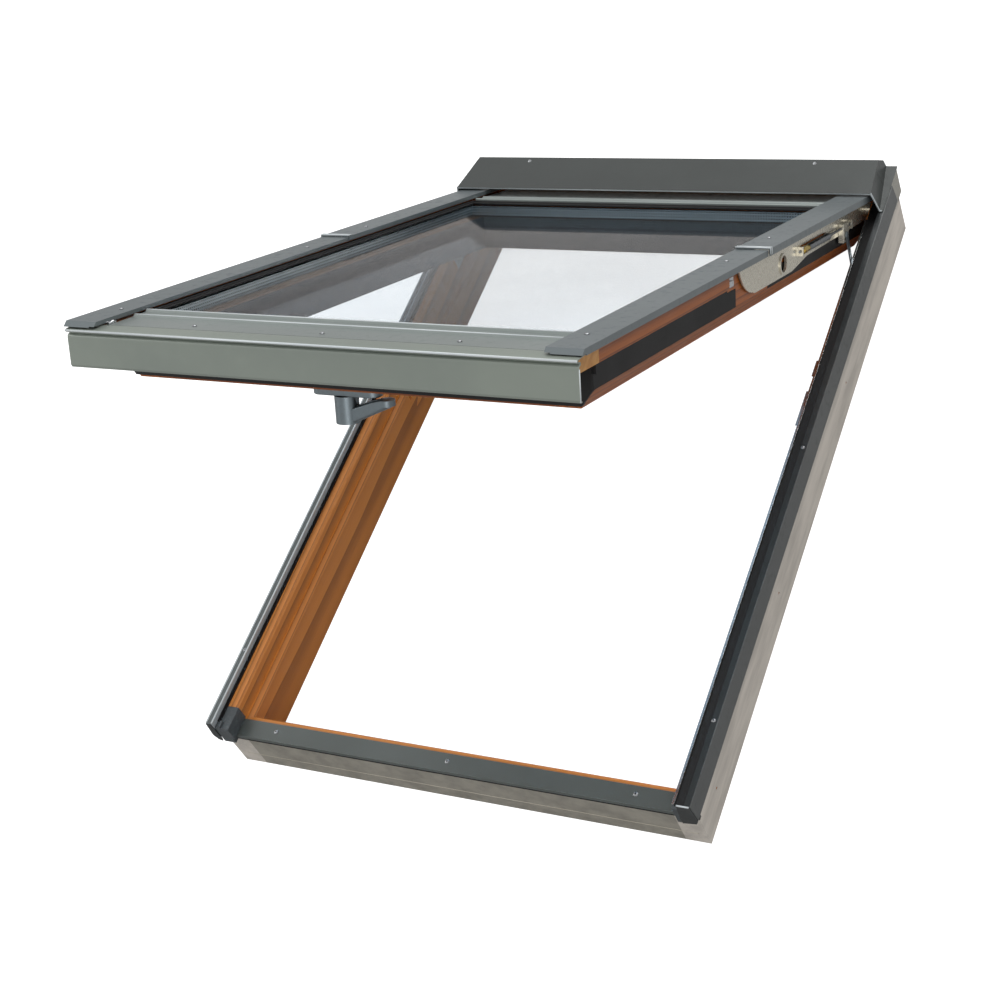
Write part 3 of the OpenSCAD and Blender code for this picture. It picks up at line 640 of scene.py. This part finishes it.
@dataclass(frozen=True)
class Perforated(Finish):
    """Aluminium spacer with rows of small holes."""

    pitch: float = 0.0045

    def build(self, shop: Shop) -> bpy.types.Material:
        """Makes the spacer's metal."""
        material, graph, shader, place = shop.start(self.name)
        flat = shop.untilted(graph, place)
        cells = graph.node(
            "ShaderNodeTexVoronoi",
            {"Vector": flat, "Scale": 1.0 / self.pitch, "Randomness": 0.0},
        )
        hole = graph.math("LESS_THAN", cells.outputs["Distance"], 0.28)
        colour = graph.mix(hole, linear((0.74, 0.76, 0.76)), linear((0.1, 0.11, 0.11)))
        rough = graph.span(graph.noise(place, 60.0), 0.3, 0.7, (0.3, 0.45))
        graph.fill(shader, {"Base Color": colour, "Metallic": 0.9, "Roughness": rough})
        shop.bump(graph, shader, graph.math("SUBTRACT", 1.0, hole), 0.0004, 0.7)
        return material


@dataclass(frozen=True)
class Matt(Finish):
    """Plain pale studio floor with a trace of tone."""

    base: Colour = (0.66, 0.66, 0.66)
    glow: float = 1.0
    glow_through: float = 2.8
    through_tint: Rgba = (1.0, 0.77, 0.63, 1.0)

    def build(self, shop: Shop) -> bpy.types.Material:
        """Makes the floor's surface, which is seen as white but throws little light back."""
        material, graph, shader, place = shop.start(self.name)
        tone = graph.span(graph.noise(place, 2.0, 2.0, 0.5), 0.3, 0.7)
        darker = tuple(c * 0.97 for c in self.base)
        colour = graph.mix(tone, linear(self.base), linear(darker))
        graph.fill(shader, {"Base Color": colour, "Roughness": 0.95, "Specular IOR Level": 0.1})
        path = graph.node("ShaderNodeLightPath")
        through = path.outputs["Is Transmission Ray"]
        seen = graph.math("MAXIMUM", path.outputs["Is Camera Ray"], through)
        light = graph.mix(through, (1.0, 1.0, 1.0, 1.0), self.through_tint)
        graph.put(shader.inputs["Emission Color"], light)
        strength = graph.span(through, 0.0, 1.0, (self.glow, self.glow_through))
        graph.put(shader.inputs["Emission Strength"], graph.math("MULTIPLY", seen, strength))
        return material


# ---------------------------------------------------------------- finishes

# One grey primer, painted lighter on the side rails and darker on the cross rails: painted light
# and shade for how their outer faces are lit.
RAIL_PINE = Lacquered("PineRail", primed=(0.86, 0.83, 0.79))
CROSS_PINE = Lacquered("PineCross", grain=Grain.ACROSS, primed=(0.65, 0.63, 0.585))
# The sash's rails and cross rails take the frame's pine painted darker: painted shade for the
# sash's shaded underside.
SASH_RAIL_PINE = Lacquered(
    "PineSashRail", early=(0.70, 0.38, 0.11), late=(0.38, 0.17, 0.045), tilted=True,
    under_glass=True,
)
SASH_CROSS_PINE = Lacquered(
    "PineSashCross", early=(0.70, 0.38, 0.12), late=(0.40, 0.18, 0.05), grain=Grain.ACROSS,
    # A warm grey painted shade on the faces round the glass.
    tilted=True, end_grain=0.3515, under_glass=True, reveal_shade=(0.46, 0.43, 0.41),
)
HOOD_PAINT = SheetPaint(
    "HoodPaint", base=(0.235, 0.25, 0.245), film=(0.265, 0.28, 0.275), bare=(0.45, 0.47, 0.46)
)
COVER_PAINT = SheetPaint("CoverPaint", base=(0.40, 0.43, 0.44), film=(0.45, 0.48, 0.49), wear=0.35)
PANEL_PAINT = SheetPaint(
    "PanelPaint", base=(0.54, 0.57, 0.54), film=(0.59, 0.62, 0.58), metallic=0.3
)
# The left cladding's inner fold is painted light grey: a painted highlight.
CLAD_PAINT = SheetPaint(
    "CladPaint", base=(0.34, 0.36, 0.36), film=(0.40, 0.43, 0.43), painted_highlight_within=0.3858
)
# The right cladding is painted darker over its top and inner faces: painted shade.
RIGHT_CLAD_PAINT = SheetPaint(
    "RightCladPaint", base=(0.33, 0.34, 0.34), film=(0.37, 0.38, 0.38), painted_shade_within=0.3938
)
SILL_PAINT = SheetPaint("SillPaint", base=(0.34, 0.36, 0.35), film=(0.39, 0.41, 0.40))
BEAD_PAINT = SheetPaint(
    "BeadPaint", base=(0.54, 0.57, 0.56), film=(0.60, 0.63, 0.62), metallic=0.45,
    roughness=0.34, wear=0.2,
)
# Light grey for the line along the hood's front fold: painted highlight.
HOOD_FOLD_HIGHLIGHT = SheetPaint(
    "PaintedHoodHighlight", base=(0.60, 0.63, 0.64), film=(0.68, 0.71, 0.72), metallic=0.2, wear=0.2
)
# Light grey for thin lines laid along edges and folds: painted highlights.
EDGE_HIGHLIGHT = SheetPaint(
    "PaintedEdgeHighlight", base=(0.80, 0.83, 0.84), film=(0.88, 0.90, 0.90), metallic=0.1, wear=0.1
)
# Pale line along the sill rail's groove: painted highlight.
GROOVE_HIGHLIGHT = SheetPaint(
    "PaintedGrooveHighlight", base=(0.78, 0.75, 0.68), film=(0.84, 0.82, 0.76), metallic=0.0, wear=0.0
)
ZINC = Metal("ZincPlate", tint=(0.74, 0.73, 0.69), roughness=0.33)
ARM_ZINC = Metal(
    "ArmZinc", tint=(0.90, 0.88, 0.82), roughness=0.24, metallic=0.7, stain=(0.55, 0.47, 0.38)
)
STEEL = Metal("SpringSteel", tint=(0.5, 0.51, 0.52), roughness=0.28)
CHROME = Metal("BrightPlate", tint=(0.86, 0.87, 0.88), roughness=0.14, brush=0.2)
SCREW = Metal("ScrewPlate", tint=(0.68, 0.69, 0.70), roughness=0.26, brush=0.2)
BRASS = Metal("BrassPlate", tint=(0.76, 0.66, 0.36), roughness=0.28, stain=(0.5, 0.42, 0.2))
GREY_CAST = Metal("GreyCasting", tint=(0.52, 0.56, 0.58), roughness=0.38)
RUBBER = Rubber("BlackRubber")
CAP_PLASTIC = Moulded("CapPlastic", base=(0.19, 0.2, 0.2))
CORNER_PLASTIC = Moulded("CornerPlastic", base=(0.27, 0.29, 0.3))
# Near black for the screw heads' crease and recess: painted shade, made with the plastic finish.
RECESS_SHADE = Moulded("ScrewRecessShade", base=(0.12, 0.12, 0.13), roughness=0.6)
PANE = ClearGlass("PaneGlass")
SPACER = Perforated("SpacerMetal")
FLOOR = Matt("StudioFloor")


# ---------------------------------------------------------------- meshes


def limits(points: Iterable[Vector]) -> tuple[Vector, Vector]:
    """Lowest and highest corners of a set of points."""
    axes = list(zip(*points))
    return Vector([min(a) for a in axes]), Vector([max(a) for a in axes])


@dataclass
class Bench:
    """Where pieces are made: the frame's nodes, bodies and materials, and the open sash's pose."""

    frame: dict
    shop: Shop
    hinge: Vector
    tilt: float
    made: int = 0
    bodies: dict[str, str] = field(default_factory=dict)

    def __post_init__(self) -> None:
        """Finds each node's body."""
        for body, nodes in self.frame["record"]["behaviour"]["bodies"].items():
            for node in nodes:
                self.bodies[node] = body

    @property
    def opened(self) -> Matrix:
        """Takes a point from the shut position of the sash to its place in the open one."""
        there = Matrix.Translation(self.hinge)
        return there @ Matrix.Rotation(-self.tilt, 4, "X") @ there.inverted()

    @property
    def half_width(self) -> float:
        """Half the outside width of the wooden frame."""
        return self.shut_limits("frame_right_rail")[1].x

    def shut_limits(self, node: str) -> tuple[Vector, Vector]:
        """Lowest and highest corners of a node, as it lies when the sash is shut."""
        back = self.shutting(node)
        return limits(back @ v.co for v in self.frame["nodes"][node].data.vertices)

    def shutting(self, node: str) -> Matrix:
        """Takes a point of a node from its place at rest to its place when shut."""
        return Matrix.Identity(4) if self.bodies[node] == "frame" else self.opened.inverted()

    def islands(self, node: str) -> list[tuple[Vector, Vector]]:
        """Lowest and highest corners of each loose part of a node, as it lies when shut."""
        shape = bmesh.new()
        shape.from_mesh(self.frame["nodes"][node].data)
        bmesh.ops.remove_doubles(shape, verts=shape.verts, dist=SAME_POINT)
        back = self.shutting(node)
        boxes = []
        left = set(shape.verts)
        while left:
            reached, todo = set(), [left.pop()]
            while todo:
                vert = todo.pop()
                reached.add(vert)
                for edge in vert.link_edges:
                    other = edge.other_vert(vert)
                    if other in left:
                        left.discard(other)
                        todo.append(other)
            boxes.append(limits(back @ v.co for v in reached))
        shape.free()
        return boxes

    def turn_screws(self, node: str, head: float = 1.6 * MM) -> None:
        """Replaces plain screws by turned ones, each with a flange, and paints shade with a dark
        ring in its crease and a dark plug in its round recess.
        """
        bright, dark = [], []
        move = self.shutting(node).inverted()
        for low, high in self.islands(node):
            radius = (high.x - low.x) / 2.0
            seat = high.z - head
            middle = (low + high) / 2.0
            place = move @ Matrix.Translation((middle.x, middle.y, seat))
            shank = min(radius * 0.5, 1.8 * MM)
            profile = [
                (0.0, low.z - seat), (shank, low.z - seat), (shank, 0.0),
                (radius, 0.0), (radius, 0.3 * MM), (radius * 0.86, 0.45 * MM),
                (radius * 0.84, 0.9 * MM), (radius * 0.7, 1.35 * MM), (radius * 0.5, head),
                (radius * 0.34, head), (radius * 0.22, 0.8 * MM), (0.0, 0.7 * MM),
            ]
            bright.append((lathe_mesh("screw_turned", profile, SCREW_SIDES), place))
            # Painted shade: a dark ring in the crease round the head.
            ring = []
            for k in range(SCREW_SIDES + 1):
                angle = math.tau * k / SCREW_SIDES
                out = Vector((math.cos(angle), math.sin(angle), 0.0)) * radius * 0.88
                ring.append(out + Vector((0.0, 0.0, 0.42 * MM)))
            dark.append((tube_mesh("screw_shadow", ring, 0.22 * MM, 6), place))
            pit = [
                (0.0, 0.6 * MM), (radius * 0.33, 0.6 * MM), (radius * 0.33, 1.2 * MM),
                (0.0, 1.0 * MM),
            ]
            dark.append((lathe_mesh("screw_pit_shade", pit, 12), place))
        body = self.bodies[node]
        turned, recess_shade = f"{node}_turned", f"{node}_recess"
        self.place(turned, joined_mesh(turned, bright), SCREW, body, [node])
        self.place(recess_shade, joined_mesh(recess_shade, dark), RECESS_SHADE, body)

    def line(
        self, name: str, path: Sequence[Vector], radius: float, finish: Finish, body: str
    ) -> None:
        """Lays a thin round line on a body, such as a painted highlight along a fold."""
        points = path if body == "frame" else [self.opened @ q for q in path]
        self.place(name, tube_mesh(name, points, radius, 8), finish, body)

    def dress(self, nodes: Iterable[str], finish: Finish) -> None:
        """Gives CAD nodes a finish."""
        for node in nodes:
            for slot in self.frame["nodes"][node].material_slots:
                slot.material = self.shop.get(finish)
            LOG.info("%s dressed as %s", node, finish.name)

    def place(
        self, name: str, mesh: Mesh, finish: Finish, body: str, stands_for: Sequence[str] = ()
    ) -> bpy.types.Object:
        """Puts a new piece on a body.

        Args:
            name: The piece's name.
            mesh: Its mesh, in the row frame at rest.
            finish: Its finish.
            body: The CAD body that it moves with.
            stands_for: CAD nodes that it replaces.

        Returns:
            The new object.
        """
        piece = bpy.data.objects.new(name, mesh)
        bpy.context.scene.collection.objects.link(piece)
        if not mesh.materials:
            mesh.materials.append(self.shop.get(finish))
        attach(piece, body)
        if stands_for:
            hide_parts(*stands_for)
        self.made += 1
        LOG.info("%s made for %s on %s", name, stands_for or "detail", body)
        return piece

    def soften(
        self, node: str, finish: Finish, width: float, segments: int = 2
    ) -> bpy.types.Object:
        """Replaces a node by a copy with rounded edges.

        Args:
            node: The CAD node.
            finish: The copy's finish.
            width: How far each edge is rounded, in metres.
            segments: Steps in each rounding.

        Returns:
            The rounded copy.
        """
        source = self.frame["nodes"][node]
        mesh = bpy.data.meshes.new(f"{node}_rounded")
        shape = bmesh.new()
        shape.from_mesh(source.data)
        bmesh.ops.remove_doubles(shape, verts=shape.verts, dist=SAME_POINT)
        bmesh.ops.dissolve_limit(
            shape, angle_limit=math.radians(0.5), verts=shape.verts, edges=shape.edges,
            use_dissolve_boundaries=False,
        )
        shape.normal_update()
        for face in shape.faces:
            face.material_index = 0
        shape.to_mesh(mesh)
        shape.free()
        mesh.materials.clear()
        mesh.shade_smooth()
        piece = self.place(f"{node}_look", mesh, finish, self.bodies[node], [node])
        bevel = piece.modifiers.new("Rounding", "BEVEL")
        bevel.width = width
        bevel.segments = segments
        bevel.limit_method = "ANGLE"
        bevel.angle_limit = math.radians(20.0)
        bevel.harden_normals = False
        bevel.use_clamp_overlap = True
        weighted = piece.modifiers.new("FlatNormals", "WEIGHTED_NORMAL")
        weighted.keep_sharp = True
        weighted.weight = 80
        return piece


def tube_mesh(name: str, path: Sequence[Vector], radius: float, sides: int = 10) -> Mesh:
    """Sweeps a circle along a path, with closed ends.

    Args:
        name: The mesh's name.
        path: Points along the middle.
        radius: The circle's radius.
        sides: Sides of the circle.

    Returns:
        The tube.
    """
    shape = bmesh.new()
    rings = []
    start = (path[1] - path[0]).normalized()
    normal = Vector((0.0, 1.0, 0.0)) if abs(start.x) > 0.7 else Vector((1.0, 0.0, 0.0))
    for i, point in enumerate(path):
        ahead = (path[min(i + 1, len(path) - 1)] - path[max(i - 1, 0)]).normalized()
        normal = (normal - ahead * normal.dot(ahead)).normalized()
        across = ahead.cross(normal)
        ring = []
        for k in range(sides):
            angle = math.tau * k / sides
            out = normal * math.cos(angle) + across * math.sin(angle)
            ring.append(shape.verts.new(point + out * radius))
        rings.append(ring)
    for a, b in zip(rings, rings[1:]):
        for k in range(sides):
            shape.faces.new((a[k], a[(k + 1) % sides], b[(k + 1) % sides], b[k]))
    shape.faces.new(list(reversed(rings[0])))
    shape.faces.new(rings[-1])
    bmesh.ops.recalc_face_normals(shape, faces=shape.faces)
    mesh = bpy.data.meshes.new(name)
    shape.to_mesh(mesh)
    shape.free()
    mesh.shade_smooth()
    return mesh


def lathe_mesh(name: str, profile: Sequence[Point], sides: int = 32) -> Mesh:
    """Turns a profile about the Z axis.

    Args:
        name: The mesh's name.
        profile: Radius and height of each ring; the first and last lie on the axis.
        sides: Sides of the turned shape.

    Returns:
        The turned mesh, smooth except at its sharp rings.
    """
    shape = bmesh.new()
    first = shape.verts.new((0.0, 0.0, profile[0][1]))
    rings = []
    for radius, height in profile[1:-1]:
        turns = [math.tau * k / sides for k in range(sides)]
        spots = [(radius * math.cos(a), radius * math.sin(a), height) for a in turns]
        rings.append([shape.verts.new(spot) for spot in spots])
    last = shape.verts.new((0.0, 0.0, profile[-1][1]))
    for k in range(sides):
        n = (k + 1) % sides
        shape.faces.new((first, rings[0][n], rings[0][k]))
        for a, b in zip(rings, rings[1:]):
            shape.faces.new((a[k], a[n], b[n], b[k]))
        shape.faces.new((rings[-1][k], rings[-1][n], last))
    bmesh.ops.recalc_face_normals(shape, faces=shape.faces)
    mesh = bpy.data.meshes.new(name)
    shape.to_mesh(mesh)
    shape.free()
    mesh.shade_smooth()
    mesh.set_sharp_from_angle(angle=math.radians(35.0))
    return mesh


def joined_mesh(name: str, parts: Sequence[tuple[Mesh, Matrix]]) -> Mesh:
    """Joins copies of meshes, each moved by its own matrix, into one mesh."""
    shape = bmesh.new()
    for mesh, move in parts:
        start = len(shape.verts)
        shape.from_mesh(mesh)
        shape.verts.ensure_lookup_table()
        for vert in shape.verts[start:]:
            vert.co = move @ vert.co
    joined = bpy.data.meshes.new(name)
    shape.to_mesh(joined)
    shape.free()
    return joined


# ---------------------------------------------------------------- sub-assemblies


@dataclass
class Frame:
    """Fixed wooden frame with its cladding and hood."""

    bench: Bench
    wood_round: float = 1.2 * MM
    sheet_round: float = 0.5 * MM
    hood_inset: float = 10.0 * MM
    hood_lean: float = 12.0
    fold: float = 1.5 * MM
    edge: float = 1.3 * MM
    groove_end: float = 376.0 * MM
    groove_z: float = 25.0 * MM

    def build(self) -> None:
        """Dresses the rails, cladding, hood and small parts."""
        bench = self.bench
        for node in ("frame_left_rail", "frame_right_rail"):
            bench.soften(node, RAIL_PINE, self.wood_round)
        for node in ("frame_sill_rail", "frame_head_rail"):
            bench.soften(node, CROSS_PINE, self.wood_round)
        bench.soften("left_rail_cladding", CLAD_PAINT, self.sheet_round)
        bench.soften("right_rail_cladding", RIGHT_CLAD_PAINT, self.sheet_round)
        bench.soften("sill_cover", SILL_PAINT, self.sheet_round)
        bench.soften("hood", HOOD_PAINT, self.sheet_round)
        for node in ("left_end_cap", "right_end_cap"):
            bench.soften(node, CAP_PLASTIC, 0.6 * MM)
        for node in ("left_corner_cap", "right_corner_cap"):
            bench.soften(node, CORNER_PLASTIC, 0.7 * MM)
        for node in ("left_rail_seal", "right_rail_seal"):
            bench.soften(node, RUBBER, 0.5 * MM)
        bench.soften("striker_strip", CHROME, 0.3 * MM)
        bench.turn_screws("rail_screws")
        bench.turn_screws("sill_screws")
        bench.dress(["hood_rivets"], SCREW)
        self.lay_hood_highlights()
        self.lay_rail_highlights()
        plates = ["flank_plates", "lock_striker", "left_hinge_plate", "right_hinge_plate"]
        bench.dress(plates, ZINC)

    def lay_hood_highlights(self) -> None:
        """Lays a painted highlight along the hood's front fold and down to its feet."""
        low, high = self.bench.shut_limits("hood")
        clad_top = self.bench.shut_limits("left_rail_cladding")[1].z
        front = low.y + 0.3 * MM
        foot = clad_top + 1.8 * MM
        top = high.z - 0.5 * MM
        shoulder = self.bench.half_width - self.hood_inset
        rise = (top - foot) * math.tan(math.radians(self.hood_lean))
        for side in (-1.0, 1.0):
            outs = (shoulder + rise + 3.5 * MM, shoulder + rise, shoulder + 0.2 * MM)
            path = [Vector((side * x, front, z)) for x, z in zip(outs, (foot, foot, top))]
            self.bench.line(f"hood_fold_{int(side)}", path, self.fold, HOOD_FOLD_HIGHLIGHT, "frame")
        across = [Vector((side * shoulder, front, top - self.fold)) for side in (-1.0, 1.0)]
        self.bench.line("hood_fold_front", across, self.fold, HOOD_FOLD_HIGHLIGHT, "frame")

    def lay_rail_highlights(self) -> None:
        """Lays painted highlights along the cladding's edges and along the sill rail's groove."""
        low, high = self.bench.shut_limits("left_rail_cladding")
        hood_front = self.bench.shut_limits("hood")[0].y
        for number, x in enumerate((high.x + 0.3 * MM, high.x - 9.0 * MM)):
            ends = (low.y + 1.0 * MM, hood_front - 2.0 * MM)
            edge = [Vector((x, y, high.z - 0.2 * MM)) for y in ends]
            self.bench.line(f"left_clad_highlight_{number}", edge, self.edge, EDGE_HIGHLIGHT, "frame")
        right = self.bench.half_width
        cap = [
            Vector((x, low.y - 0.6 * MM, high.z - 0.4 * MM))
            for x in (right - 15.0 * MM, right + 3.0 * MM)
        ]
        self.bench.line("right_cap_highlight", cap, self.edge, EDGE_HIGHLIGHT, "frame")
        front = self.bench.shut_limits("frame_sill_rail")[0].y + 1.0 * MM
        groove = [
            Vector((side * self.groove_end, front, self.groove_z)) for side in (-1.0, 1.0)
        ]
        self.bench.line("groove_highlight", groove, self.edge, GROOVE_HIGHLIGHT, "frame")


@dataclass
class Arms:
    """Top-hung arms with their covers, springs and stays."""

    bench: Bench
    coil_pitch: float = 2.9 * MM
    wire: float = 0.95 * MM
    steps_per_turn: int = 18

    def build(self) -> None:
        """Dresses the arms and winds the springs."""
        bench = self.bench
        for side in ("left", "right"):
            bench.soften(f"{side}_arm", ARM_ZINC, 0.4 * MM)
            bench.soften(f"{side}_upper_cover", COVER_PAINT, 0.5 * MM)
            bench.soften(f"{side}_carriage", ARM_ZINC, 0.6 * MM)
            bench.soften(f"{side}_stay", GREY_CAST, 0.4 * MM)
            bench.soften(f"{side}_adjuster", BRASS, 0.4 * MM)
            bench.dress([f"{side}_rod"], STEEL)
            self.wind_spring(side)
            self.lay_hem_highlights(side)
        bench.turn_screws("upper_cover_screws")

    def lay_hem_highlights(self, side: str) -> None:
        """Lays two painted highlights over the hem where the upper cover meets the lower one."""
        low, high = self.bench.shut_limits(f"{side}_upper_cover")
        top = high.z - 0.2 * MM
        inner, outer = (low.x, high.x) if side == "right" else (high.x, low.x)
        for number, y in enumerate((low.y + 0.7 * MM, low.y + 6.6 * MM)):
            drop = Vector((outer, y, top - 9.0 * MM))
            path = [Vector((inner, y, top)), Vector((outer, y, top)), drop]
            self.bench.line(f"{side}_hem_{number}", path, 1.0 * MM, EDGE_HIGHLIGHT, "arms")

    def wind_spring(self, side: str) -> None:
        """Winds the coil spring that its plain sleeve stands for."""
        low, high = self.bench.shut_limits(f"{side}_spring")
        middle = (low + high) / 2.0
        radius = (high.x - low.x) / 2.0 - self.wire
        length = high.y - low.y - 2.0 * self.wire
        turns = length / self.coil_pitch
        count = int(turns * self.steps_per_turn)
        path = []
        for i in range(count + 1):
            angle = math.tau * turns * i / count
            y = low.y + self.wire + length * i / count
            out = Vector((math.cos(angle), 0.0, math.sin(angle))) * radius
            path.append(self.bench.opened @ (Vector((middle.x, y, middle.z)) + out))
        mesh = tube_mesh(f"{side}_coil", path, self.wire, 8)
        node = f"{side}_spring"
        self.bench.place(f"{side}_spring_coil", mesh, STEEL, self.bench.bodies[node], [node])


@dataclass
class Sash:
    """Glazed sash with its covers, weather panel and catch."""

    bench: Bench

    def build(self) -> None:
        """Dresses every piece of the sash."""
        bench = self.bench
        for node in ("sash_left_rail", "sash_right_rail"):
            bench.soften(node, SASH_RAIL_PINE, 1.2 * MM)
        for node in ("sash_sill_rail", "sash_head_rail"):
            bench.soften(node, SASH_CROSS_PINE, 1.2 * MM)
        for node in ("left_lower_cover", "right_lower_cover"):
            bench.soften(node, COVER_PAINT, 0.5 * MM)
        bench.soften("front_panel", PANEL_PAINT, 0.6 * MM)
        for node in ("sill_bead", "head_bead"):
            bench.soften(node, BEAD_PAINT, 0.5 * MM)
        bench.soften("glass_gasket", RUBBER, 0.8 * MM)
        bench.soften("sash_seal", RUBBER, 0.8 * MM)
        bench.dress(["outer_pane", "inner_pane"], PANE)
        bench.dress(["pane_spacer"], SPACER)
        bench.turn_screws("lower_cover_screws")
        bench.turn_screws("bead_screws")
        bench.soften("side_catch", CHROME, 0.3 * MM)
        self.crumple_clips()
        self.lay_panel_highlights()
        bench.dress(["left_pivot_plate", "right_pivot_plate", "lock_case"], ZINC)

    def lay_panel_highlights(self) -> None:
        """Lays painted highlights along the weather panel's rolled edges and the sill bead's
        ridges.
        """
        low, high = self.bench.shut_limits("front_panel")
        inset = 0.5 * MM
        sides = (low.x + inset, high.x - inset)
        rib = [Vector((x, low.y + 0.1 * MM, high.z - 3.9 * MM)) for x in sides]
        self.bench.line("panel_rib_highlight", rib, 1.5 * MM, EDGE_HIGHLIGHT, "sash")
        heights = (high.z - 14.0 * MM, low.z + 1.0 * MM)
        end = [Vector((high.x - 0.1 * MM, low.y + 4.0 * MM, z)) for z in heights]
        self.bench.line("panel_end_highlight", end, 0.9 * MM, EDGE_HIGHLIGHT, "sash")
        low, high = self.bench.shut_limits("sill_bead")
        sides = (low.x + inset, high.x - inset)
        for number, (back, down) in enumerate(((3.2, 0.1), (29.5, 1.1))):
            ridge = [Vector((x, high.y - back * MM, high.z - down * MM)) for x in sides]
            self.bench.line(f"bead_ridge_highlight_{number}", ridge, 1.2 * MM, EDGE_HIGHLIGHT, "sash")

    def crumple_clips(self) -> None:
        """Makes the thin bright clips at the ends of the bead, each a creased block filling its
        clip's bounds.
        """
        clips = []
        for low, high in self.bench.islands("corner_clips"):
            shape = bmesh.new()
            bmesh.ops.create_cube(shape, size=1.0)
            bmesh.ops.subdivide_edges(shape, edges=shape.edges, cuts=7, use_grid_fill=True)
            for vert in shape.verts:
                x, y, z = vert.co + Vector((0.5, 0.5, 0.5))
                crease = 0.16 * math.sin(9.0 * y + 3.0 * x)
                crease += 0.12 * math.sin(17.0 * y - 11.0 * x + 1.0)
                z = z * (0.78 + crease * 0.9) if z > 0.3 else z
                x = min(max(x + 0.09 * math.sin(13.0 * y + 5.0 * z), 0.0), 1.0)
                share = Vector((x, y, min(z, 1.0)))
                vert.co = self.bench.opened @ (low + (high - low) * share)
            mesh = bpy.data.meshes.new("clip")
            shape.to_mesh(mesh)
            shape.free()
            clips.append((mesh, Matrix.Identity(4)))
        mesh = joined_mesh("creased_clips", clips)
        self.bench.place("creased_clips", mesh, CHROME, "sash", ["corner_clips"])


@dataclass
class Handle:
    """Lever handle under the sill rail of the sash."""

    bench: Bench

    def build(self) -> None:
        """Dresses the handle and its base."""
        self.bench.soften("handle_base", GREY_CAST, 1.5 * MM, 3)
        self.bench.soften("handle", GREY_CAST, 1.0 * MM, 3)


# ---------------------------------------------------------------- studio


@dataclass
class Studio:
    """Floor, lights and camera."""

    shop: Shop
    lens: float = 67.9
    eye: tuple[float, float, float] = (1.27070, -1.62452, 2.30478)
    ahead: tuple[float, float, float] = (-0.45251, 0.50281, -0.73649)
    up: tuple[float, float, float] = (-0.08893, 0.79632, 0.59830)
    floor_size: float = 14.0
    sky: float = 1.0

    def build(self) -> None:
        """Lays the floor, hangs the lights and aims the camera."""
        self.lay_floor()
        self.light()
        self.aim()

    def lay_floor(self) -> None:
        """Lays a wide plain floor just under the frame."""
        half = self.floor_size / 2.0
        mesh = bpy.data.meshes.new("floor")
        corners = [(-half, -half, 0.0), (half, -half, 0.0), (half, half, 0.0), (-half, half, 0.0)]
        mesh.from_pydata(corners, [], [(0, 1, 2, 3)])
        mesh.materials.append(self.shop.get(FLOOR))
        floor = bpy.data.objects.new("studio_floor", mesh)
        floor.location.z = -0.0005
        bpy.context.scene.collection.objects.link(floor)

    def light(self) -> None:
        """Sets a soft sky that is brighter overhead, and three wide soft lights."""
        world = bpy.data.worlds.new("StudioSky")
        bpy.context.scene.world = world
        world.use_nodes = True
        graph = Graph(world.node_tree)
        background = world.node_tree.nodes["Background"]
        place = graph.node("ShaderNodeTexCoord").outputs["Generated"]
        way = graph.node("ShaderNodeSeparateXYZ", {0: place})
        height = graph.span(way.outputs[2], 0.0, 0.95, (0.62, 1.0))
        across = graph.span(way.outputs[0], -0.7, 0.9, (0.9, 0.95))
        along = graph.span(way.outputs[1], -0.9, 0.6, (0.8, 1.0))
        shade = graph.math("MULTIPLY", graph.math("MULTIPLY", height, across), along)
        background.inputs["Color"].default_value = (1.0, 1.0, 1.0, 1.0)
        graph.put(background.inputs["Strength"], graph.math("MULTIPLY", shade, self.sky))
        self.panel_light("key_light", (0.6, 2.6, 3.2), 2.6, 60.0)
        self.panel_light("side_light", (-3.0, -1.0, 2.2), 2.2, 26.0)
        self.panel_light("front_light", (1.5, -3.0, 2.0), 1.8, 14.0)

    def panel_light(
        self, name: str, place: tuple[float, float, float], size: float, power: float
    ) -> None:
        """Hangs one square light that faces the window."""
        data = bpy.data.lights.new(name, "AREA")
        data.shape = "SQUARE"
        data.size = size
        data.energy = power
        lamp = bpy.data.objects.new(name, data)
        lamp.location = place
        lamp.rotation_mode = "QUATERNION"
        way = Vector((0.0, 0.0, 0.2)) - Vector(place)
        lamp.rotation_quaternion = way.to_track_quat("-Z", "Y")
        bpy.context.scene.collection.objects.link(lamp)

    def aim(self) -> None:
        """Aims the camera down at the open window."""
        data = bpy.data.cameras.new("camera")
        data.lens = self.lens
        data.sensor_width = 36.0
        data.clip_end = 100.0
        camera = bpy.data.objects.new("camera", data)
        back = -Vector(self.ahead).normalized()
        up = Vector(self.up)
        up = (up - back * up.dot(back)).normalized()
        right = up.cross(back)
        turn = Matrix((right, up, back)).transposed()
        camera.matrix_world = Matrix.Translation(Vector(self.eye)) @ turn.to_4x4()
        scene = bpy.context.scene
        scene.collection.objects.link(camera)
        scene.camera = camera
        scene.view_settings.view_transform = "Standard"
        scene.view_settings.look = "None"


def main() -> None:
    """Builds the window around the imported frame."""
    logging.basicConfig(level=logging.INFO, format="%(name)s: %(message)s")
    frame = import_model()
    hung = next(j for j in frame["joints"] if j["name"] == "top_hung")
    tilt = math.radians(-hung["range_deg"][0])
    hinge = Vector(hung["pos_m"])
    bench = Bench(frame, Shop(tilt, hinge), hinge, tilt)
    Frame(bench).build()
    Arms(bench).build()
    Sash(bench).build()
    Handle(bench).build()
    Studio(bench.shop).build()
    LOG.info("%d pieces made", bench.made)


if __name__ == "__main__":
    main()
